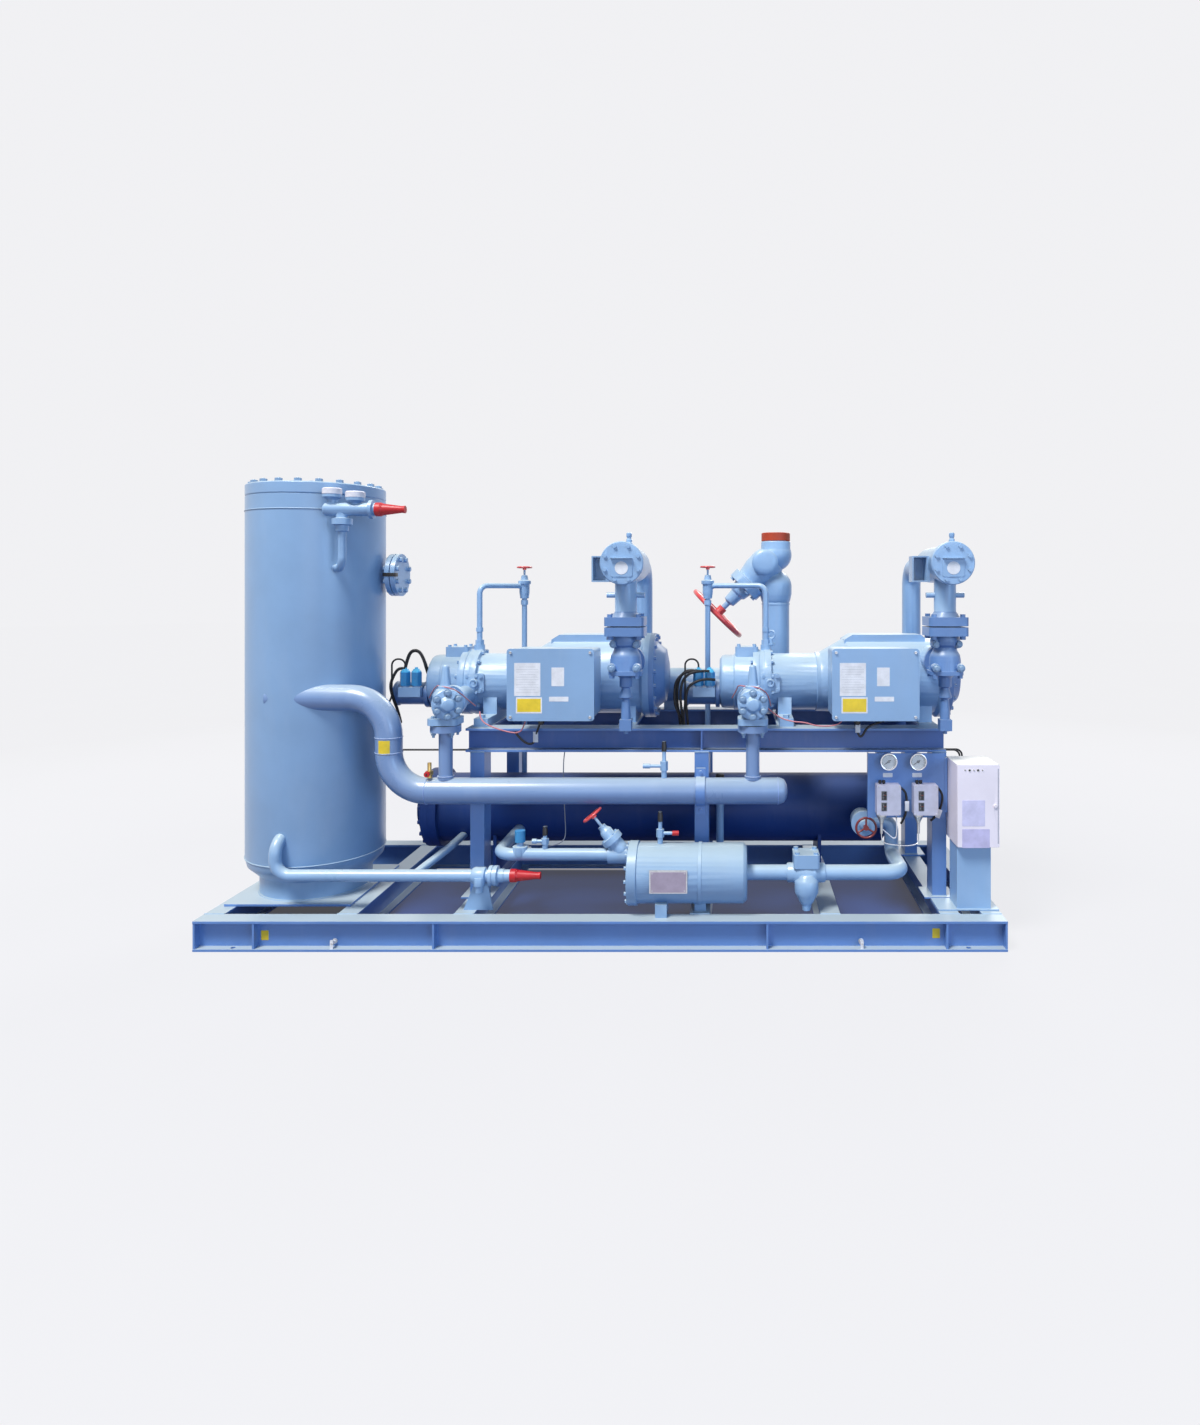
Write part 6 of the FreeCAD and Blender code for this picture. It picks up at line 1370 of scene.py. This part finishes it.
@dataclass
class Suction(Assembly):
    """Suction valves, strainers, header and the slanted main valve."""

    spacing: float = 1.310
    x: float = 0.081
    gasket: tuple[float, float] = (1.269, 1.274)
    neck_front: float = -0.60
    neck_back: float = -0.25
    neck_top: float = 1.330
    bolt_rows: Route = ((0.046, -0.418, 1.200), (0.050, -0.442, 1.104))
    bolt_size: float = 0.0125
    strainer_z: float = 1.527
    strainer_front: float = -0.530
    guard_width: float = 0.086

    def build(self) -> None:
        """Dress the suction side and add the valves' bolts and the strainers' guards."""
        low, high = self.gasket
        # Painted shade: the stop valves take the darker casting blue for the strainers' shadow.
        self.dress(Finish.CASTING_PAINTED_SHADE, "suction_valve_1", "suction_valve_2")
        self.dress(Finish.CASTING, "main_suction_valve")
        # Painted shade: the strainers' necks take the darker casting blue.
        self.dress(Finish.PIPE, "strainer_1", "strainer_2", zones=[
            Zone(Finish.CASTING_PAINTED_SHADE, (-9, self.neck_front, low), (9, self.neck_back, self.neck_top)),
            Zone(Finish.BLACK, (-9, self.neck_front, low + MARGIN), (9, self.neck_back, high - MARGIN))])
        self.dress(Finish.PIPE, "suction_header")
        self.dress(Finish.RED_ENAMEL, "suction_handwheel")
        self.dress(Finish.ORANGE_CAP, "inlet_cap")
        for index in (1, 2):
            base = self.x + (index - 1) * self.spacing
            self.guard(index, base)
            self.valve_bolts(index, base)

    def valve_bolts(self, index: int, x: float) -> None:
        """Bolts on the front of a stop valve, in bosses of its body and of its bonnet's plate.

        Args:
            index: Number of the compressor.
            x: Where they stand along the unit.
        """
        bolts = Piece(f"suction_bolts_{index}", Finish.BOLT_PAINT)
        for side in (-1, 1):
            for wide, y, z in self.bolt_rows:
                at = Vector((x + side * wide, y, z))
                # Painted shade: the bosses take the darker casting blue.
                bolts.use(Finish.CASTING_PAINTED_SHADE).rod(at + BACK * 0.012, FRONT, 19 * MM, 26 * MM, 24, 16 * MM)
                bolts.use(Finish.BOLT_PAINT).hex_bolt(at + FRONT * 0.014, FRONT, self.bolt_size)
        bolts.finish(slot="bolt_steel", bevel=0.6 * MM)

    def guard(self, index: int, x: float) -> None:
        """Bent guard with a bare pale disc on a strainer's cover.

        Args:
            index: Number of the compressor.
            x: Where it stands along the unit.
        """
        guard = Piece(f"strainer_guard_{index}", Finish.PLATE)
        wide, thick = self.guard_width, 3 * MM
        at = Vector((x, self.strainer_front, self.strainer_z))
        guard.sheet(at + DOWN * 0.018, FRONT, UP, wide, 0.074, thick, 8 * MM)
        guard.block(at + FRONT * 0.009 + UP * 0.018, (wide, 0.018, thick), 0.8 * MM)
        guard.use(Finish.WHITE_TAG).rod(at + FRONT * thick + DOWN * 0.020, FRONT, 26 * MM, 1.2 * MM, 40)
        guard.finish(slot="machine_paint", bevel=0.6 * MM)


@dataclass
class Liquid(Assembly):
    """Economizer lines, oil cooler vessel, filter, liquid lines and oil line."""

    filter_y: float = -0.412
    filter_z: float = 0.267
    filter_radius: float = 0.119
    band_x: float = 0.388
    coil_box: tuple[Point, Point] = ((-0.378, -0.442, 0.393), (-0.318, -0.382, 0.500))
    holder: Patch = Patch(0.266, 0.270, 0.150, 0.092)
    nameplate: Patch = Patch(0.266, 0.268, 0.140, 0.080)
    sensing_route: Route = (
        (-0.194, -0.262, 0.737), (-0.194, -0.290, 0.715), (-0.194, -0.298, 0.640), (-0.190, -0.300, 0.520),
        (-0.182, -0.306, 0.410), (-0.182, -0.330, 0.376), (-0.205, -0.380, 0.372), (-0.226, -0.404, 0.374),
        (-0.244, -0.412, 0.374))

    def build(self) -> None:
        """Dress the lower lines and vessels and add the filter's plate and band, and the sensing tube."""
        self.dress(Finish.PIPE, "economizer_lines", "oil_line")
        self.dress(Finish.PIPE, "liquid_lines", zones=[Zone(Finish.COIL, *self.coil_box)])
        self.dress(Finish.RED_ENAMEL, "eco_handwheel_1", "eco_handwheel_2", "filter_handwheel")
        # Painted shade: the vessel's handwheel takes the darker red.
        self.dress(Finish.RED_PAINTED_SHADE, "vessel_handwheel")
        # Dark navy paint, darkened further as painted shade under the deck.
        self.dress(Finish.VESSEL_NAVY_PAINTED_SHADE, "oil_cooler_vessel")
        self.dress(Finish.FILTER, "filter_shell", "filter_cover")
        self.dress(Finish.CASTING, "filter_valve")
        self.dress(Finish.RED_CAP, "oil_cap")
        self.plate()
        self.filter_band()
        leads("sensing_tube", Finish.PRINT, [self.sensing_route], 2.2 * MM)

    def filter_band(self) -> None:
        """Band that holds the filter on its right leg."""
        band = Piece("filter_band", Finish.PLATE)
        inner, half = self.filter_radius + 0.4 * MM, 7 * MM
        outer = inner + 2.8 * MM
        band.lathe((self.band_x, self.filter_y, self.filter_z), RIGHT, [
            (inner, -half), (outer, -half), (outer, half), (inner, half), (inner, -half)], 96)
        band.finish(slot="machine_paint", bevel=0.5 * MM)

    def plate(self) -> None:
        """Bare mauve nameplate in its holder on the filter, with four rivets."""
        front = self.filter_y - self.filter_radius - 3 * MM
        plate = Piece("filter_nameplate", Finish.ZINC)
        plate.patch(self.holder, front, MM, 2 * MM)
        plate.use(Finish.MAUVE).patch(self.nameplate, front - MM, 1.2 * MM, MM)
        plate.use(Finish.ZINC)
        for dx, dz in corners(self.nameplate.wide / 2 - 6 * MM, self.nameplate.high / 2 - 6 * MM):
            at = (self.nameplate.x + dx, front - 2.2 * MM, self.nameplate.z + dz)
            plate.rod(at, FRONT, 2.8 * MM, 1.2 * MM, 12, 1.8 * MM)
        plate.finish(slot="bolt_steel")


@dataclass
class Instruments(Assembly):
    """Gauges and pressure controls on their folded panel."""

    panel_y: float = -0.312
    gauge_x: Sequence[float] = (1.170, 1.293)
    gauge_z: float = 0.704
    dial_y: float = -0.334
    dial_radius: float = 0.0306
    tick_reach: float = 0.0285
    ticks: int = 50
    sweep_start: float = math.radians(215)
    sweep: float = math.radians(250)
    control_x: Sequence[float] = (1.166, 1.320)
    control_front: float = -0.364
    control_bottom: float = 0.487
    control_height: float = 0.125
    windows: Sequence[tuple[float, float]] = ((0.082, 0.035), (0.036, 0.032))
    window_x: float = -0.020
    screw_half: tuple[float, float] = (0.043, 0.057)
    strip_z: float = 0.6435
    tube_x: float = 0.027
    tube_length: float = 0.081
    tube_joint: Route = (
        (0.006, -0.340, 0.366), (0.050, -0.344, 0.360), (0.098, -0.346, 0.356), (0.140, -0.344, 0.360),
        (0.155, -0.340, 0.372))
    tube_branch: Route = (
        (0.026, -0.336, 0.404), (0.060, -0.334, 0.376), (0.066, -0.330, 0.420), (0.066, -0.322, 0.460),
        (0.066, -0.3095, 0.476))
    lead_routes: Sequence[Route] = (
        ((1.212, -0.340, 0.602), (1.236, -0.336, 0.586), (1.246, -0.330, 0.556), (1.246, -0.328, 0.510),
         (1.240, -0.324, 0.470), (1.226, -0.3095, 0.440)),
        ((1.366, -0.340, 0.604), (1.390, -0.336, 0.580), (1.396, -0.332, 0.548), (1.386, -0.330, 0.506),
         (1.368, -0.328, 0.474), (1.352, -0.3095, 0.452)))

    def build(self) -> None:
        """Dress the instruments and add dials, windows, labels, tubes and leads."""
        self.dress(Finish.FRAME, "instrument_panel")
        self.dress(Finish.CHROME, "gauges")
        self.dress(Finish.INK, "gauge_needle_1", "gauge_needle_2")
        self.dress(Finish.CONTROL, "pressure_controls", zones=[
            Zone(Finish.BLACK, low=(-9, -9, self.control_bottom + self.control_height + MARGIN)),
            Zone(Finish.STEEL, high=(9, 9, self.control_bottom - MARGIN))])
        for index, x in enumerate(self.gauge_x, start=1):
            self.dial(index, x)
        for index, x in enumerate(self.control_x, start=1):
            self.control_face(index, x)
        self.tubes_and_leads()

    def tubes_and_leads(self) -> None:
        """Thin tubes under the pressure controls, and their tagged black leads."""
        bellows = self.control_bottom - self.tube_length
        front = -0.338
        first, second = (x - self.tube_x for x in self.control_x)
        leads("sensing_tubes", Finish.ZINC, [
            [(first, front, bellows + 0.004), (first, front, bellows - 0.020), *moved(self.tube_joint, first),
             (second, front, bellows - 0.010), (second, front, bellows + 0.004)],
            [(first + 0.004, front, bellows + 0.018), *moved(self.tube_branch, first)]], 2.6 * MM)
        leads("control_leads", Finish.RUBBER, self.lead_routes, 5 * MM)
        tags = Piece("lead_tags", Finish.WHITE_TAG)
        tags.block((1.246, -0.3355, 0.519), (0.018, 0.0026, 0.042), MM)
        tags.sheet((1.378, -0.3355, 0.488), FRONT, Vector((0.34, 0, 0.94)), 0.020, 0.036, 2.2 * MM, 2 * MM)
        tags.finish(slot="control_plastic")

    def dial(self, index: int, x: float) -> None:
        """White dial with its scale, clear glass and bezel.

        Args:
            index: Number of the gauge.
            x: Where it is along the unit.
        """
        dial = Piece(f"gauge_dial_{index}", Finish.DIAL)
        middle = Vector((x, self.dial_y - 0.3 * MM, self.gauge_z))
        dial.rod((x, self.dial_y, self.gauge_z), FRONT, self.dial_radius, 0.3 * MM, 64)
        dial.use(Finish.INK)
        for step in range(self.ticks + 1):
            angle = self.sweep_start - self.sweep * step / self.ticks
            way = Vector((math.cos(angle), 0, math.sin(angle)))
            wide, long = (0.8 * MM, 5.5 * MM) if step % 5 == 0 else (0.4 * MM, 3 * MM)
            dial.sheet(middle + way * (self.tick_reach - long / 2), FRONT, way, wide, long, 0.1 * MM)
        dial.finish(slot="gauge_steel")
        glass = Piece(f"gauge_glass_{index}", Finish.GLASS)
        glass.rod((x, self.panel_y - 0.0275, self.gauge_z), FRONT, 0.0308, 1.2 * MM, 64)
        glass.finish(slot="gauge_steel")
        bezel = Piece(f"gauge_bezel_{index}", Finish.CHROME)
        bezel.ring((x, self.panel_y - 0.0285, self.gauge_z), FRONT, 0.0332, 2.6 * MM, 64)
        bezel.finish(slot="gauge_steel")

    def control_face(self, index: int, x: float) -> None:
        """Windows and corner screws of one pressure control, and the label strip of its gauge.

        Args:
            index: Number of the control.
            x: Where it is along the unit.
        """
        face = Piece(f"control_face_{index}", Finish.WINDOW)
        y, low, across = self.control_front, self.control_bottom, x + self.window_x
        for above, high in self.windows:
            z = low + above
            face.use(Finish.PRINT).patch(Patch(across, z, 0.025, high + 0.005), y, 0.8 * MM, 2 * MM)
            face.use(Finish.WINDOW).patch(Patch(across, z, 0.020, high), y - 0.8 * MM, 0.6 * MM, MM)
            face.use(Finish.WHITE_TAG)
            for row in range(5):
                face.patch(Patch(across - 4 * MM, z - high * 0.36 + row * high * 0.18, 6 * MM, 0.6 * MM),
                           y - 1.4 * MM, 0.1 * MM)
            face.use(Finish.ORANGE_CAP).patch(Patch(across + 4 * MM, z + high * 0.06, 8 * MM, 1.2 * MM),
                                              y - 1.4 * MM, 0.2 * MM)
        face.use(Finish.ZINC)
        for dx, dz in corners(*self.screw_half):
            face.rod((x + dx, y, low + self.control_height / 2 + dz), FRONT, 3.5 * MM, 1.6 * MM, 16, 2.6 * MM)
        face.finish(slot="control_plastic")
        strip = Piece(f"gauge_strip_{index}", Finish.WHITE_TAG)
        strip.patch(Patch(self.gauge_x[index - 1], self.strip_z, 0.040, 0.018), self.panel_y, 0.8 * MM, 2 * MM)
        strip.finish(slot="control_plastic")


@dataclass
class Cabinet(Assembly):
    """Control cabinet on its column, its door and the leads."""

    bottom: float = 0.384
    front: float = -0.462
    lamp_spots: Sequence[tuple[float, float]] = (
        (1.455, 0.0025), (1.473, 0.0045), (1.490, 0.0025), (1.507, 0.0045), (1.525, 0.0025))
    lamp_z: float = 0.6947
    lamp_rim: float = 0.0012
    label: Patch = Patch(1.489, 0.522, 0.092, 0.104)
    lower_label: Patch = Patch(1.4985, 0.420, 0.111, 0.076)
    edge_strip: Patch = Patch(1.588, 0.550, 0.003, 0.302)

    def build(self) -> None:
        """Dress the cabinet and add lamps, label places and the edge strip."""
        self.dress(Finish.CABINET, "control_cabinet", zones=[
            Zone(Finish.PLATE, high=(9, 9, self.bottom - MARGIN / 2))])
        self.dress(Finish.CABINET, "cabinet_door")
        self.dress(Finish.RUBBER, "control_cables")
        door = Piece("door_fittings", Finish.LAVENDER)
        door.patch(self.label, self.front, 0.6 * MM, 3 * MM)
        door.use(Finish.LILAC).patch(self.lower_label, self.front, 0.6 * MM, 3 * MM)
        rim = self.lamp_rim
        for x, radius in self.lamp_spots:
            at = Vector((x, self.front, self.lamp_z))
            door.use(Finish.CHROME).rod(at, FRONT, radius + rim, rim, 24)
            door.use(Finish.WINDOW).rod(at + FRONT * rim, FRONT, radius, 1.6 * MM, 24, radius * 0.7)
        door.use(Finish.PRINT).patch(self.edge_strip, self.front, 0.4 * MM)
        door.finish(body="cabinet_door", slot="cabinet_paint")


# Studio

@dataclass(frozen=True)
class SoftBox:
    """Square soft lamp: its place, side, power in watts and colour."""

    name: str
    place: Point
    size: float
    power: float
    colour: Colour


@dataclass
class Studio:
    """Floor, light and camera of the photograph."""

    frame_width: int = 1200
    frame_height: int = 1425
    focal_pixels: float = 867.0
    centre_u: float = 735.0
    centre_v: float = 590.0
    sensor: float = 36.0
    sight: float = 200.0
    eye: Point = (0.529, -3.950, 1.420)
    backdrop: Colour = (0.878, 0.878, 0.900)
    sky: Colour = (0.40, 0.60, 1.0)
    sky_strength: float = 0.25
    floor_reach: float = 40.0
    floor_paint: Colour = (0.20, 0.20, 0.21)
    floor_roughness: float = 0.9
    floor_share: float = 0.68
    floor_glow: float = 1.34
    fade: tuple[float, float] = (2.6, 7.0)
    # shade_half, shade_blur, shade_share and shade_paint: footprint, soft edge, backdrop share and dark blue paint
    # of the painted shadow.
    shade_half: tuple[float, float] = (1.58, 0.50)
    shade_blur: float = 0.06
    shade_share: float = 0.06
    shade_paint: Colour = (0.022, 0.055, 0.200)
    target: Point = (0.0, 0.0, 0.8)
    lamps: Sequence[SoftBox] = (
        SoftBox("key", (-4.6, -6.4, 13.5), 4.5, 2700.0, (1.0, 0.985, 0.965)),
        SoftBox("front", (2.0, -12.0, 3.0), 6.0, 140.0, (0.95, 0.97, 1.0)),
        SoftBox("side", (6.5, -7.5, 2.6), 4.0, 240.0, (0.45, 0.68, 1.0)),
        SoftBox("back", (4.0, 10.0, 9.0), 6.0, 800.0, (1.0, 1.0, 1.0)))

    def build(self) -> None:
        """Make the floor, the world, the lamps and the camera."""
        self.floor()
        self.world()
        for lamp in self.lamps:
            self.soft_box(lamp)
        self.camera()

    def floor(self) -> None:
        """Pale floor that shows the backdrop's colour to the camera and in gloss, and keeps the shadow.

        The shadow is light around the unit. Between its base beams the floor is painted a dark blue shade and
        shows less of the backdrop, and the real shadow falls on it too.
        """
        net = Net.of_material("pale_floor")
        colour = net.mix(net.noise(1.5, 3.0), shade_of(self.backdrop, 0.99), self.backdrop)
        far = net.add("ShaderNodeVectorMath", {"operation": "LENGTH"}, {0: net.place()}, "Value")
        strength = net.spread(far, *self.fade, self.floor_glow, 1.0)
        share = net.spread(far, *self.fade, self.floor_share, 1.0)
        # Painted shadow: inside the base's footprint the floor takes a dark blue paint and less of the backdrop's
        # glow.
        inside = Wire(net, 1.0)
        for axis, half in zip("XY", self.shade_half):
            away = net.add("ShaderNodeSeparateXYZ", {}, {"Vector": net.place()}, axis).math("ABSOLUTE")
            inside = net.spread(away, half - self.shade_blur, half, 1.0, 0.0) * inside
        share = share * (1.0 - inside) + inside * self.shade_share
        glow = net.add("ShaderNodeEmission", {}, {"Color": colour, "Strength": strength})
        paint = net.mix(inside, self.floor_paint, self.shade_paint)
        material = net.shade(Base_Color=paint, Roughness=self.floor_roughness, Specular_IOR_Level=0.0)
        net.blend(net.seen() * share, glow)
        mesh = bmesh.new()
        bmesh.ops.create_circle(mesh, cap_ends=True, segments=64, radius=self.floor_reach)
        data = from_bmesh("floor", mesh)
        data.materials.append(material)
        put("floor", data)

    def world(self) -> None:
        """Even soft light, and the backdrop's colour where it is seen."""
        net = Net(bpy.data.worlds.new("studio"))
        bpy.context.scene.world = net.shade(Color=self.sky, Strength=self.sky_strength)
        net.blend(net.seen(), net.add("ShaderNodeBackground", {}, {"Color": self.backdrop, "Strength": 1.0}))

    def soft_box(self, box: SoftBox) -> None:
        """Add a lamp that points at the unit.

        Args:
            box: The lamp.
        """
        data = bpy.data.lights.new(box.name, "AREA")
        data.energy = box.power
        data.size = box.size
        data.color = box.colour
        lamp = put(box.name, data)
        lamp.location = box.place
        lamp.rotation_euler = (Vector(box.place) - Vector(self.target)).to_track_quat("Z", "Y").to_euler()

    def camera(self) -> None:
        """Camera of the photograph: level, with the lens's centre off the middle of the frame."""
        long_side = max(self.frame_width, self.frame_height)
        data = bpy.data.cameras.new("camera")
        data.sensor_fit = "AUTO"
        data.sensor_width = self.sensor
        data.lens = self.focal_pixels / long_side * data.sensor_width
        data.shift_x = (self.frame_width / 2 - self.centre_u) / long_side
        data.shift_y = (self.centre_v - self.frame_height / 2) / long_side
        data.clip_end = self.sight
        camera = put("camera", data)
        camera.location = self.eye
        camera.rotation_euler = (math.radians(90.0), 0.0, 0.0)
        bpy.context.scene.camera = camera


def main() -> None:
    """Build the scene."""
    logging.basicConfig(level=logging.WARNING)
    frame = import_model()
    bpy.context.scene.view_settings.view_transform = "Standard"
    Studio().build()
    for assembly in (BaseFrame, Separator, Discharge, Compressors, Suction, Liquid, Instruments, Cabinet):
        assembly(frame).build()
        LOG.info("%s done", assembly.__name__)


if __name__ == "__main__":
    main()
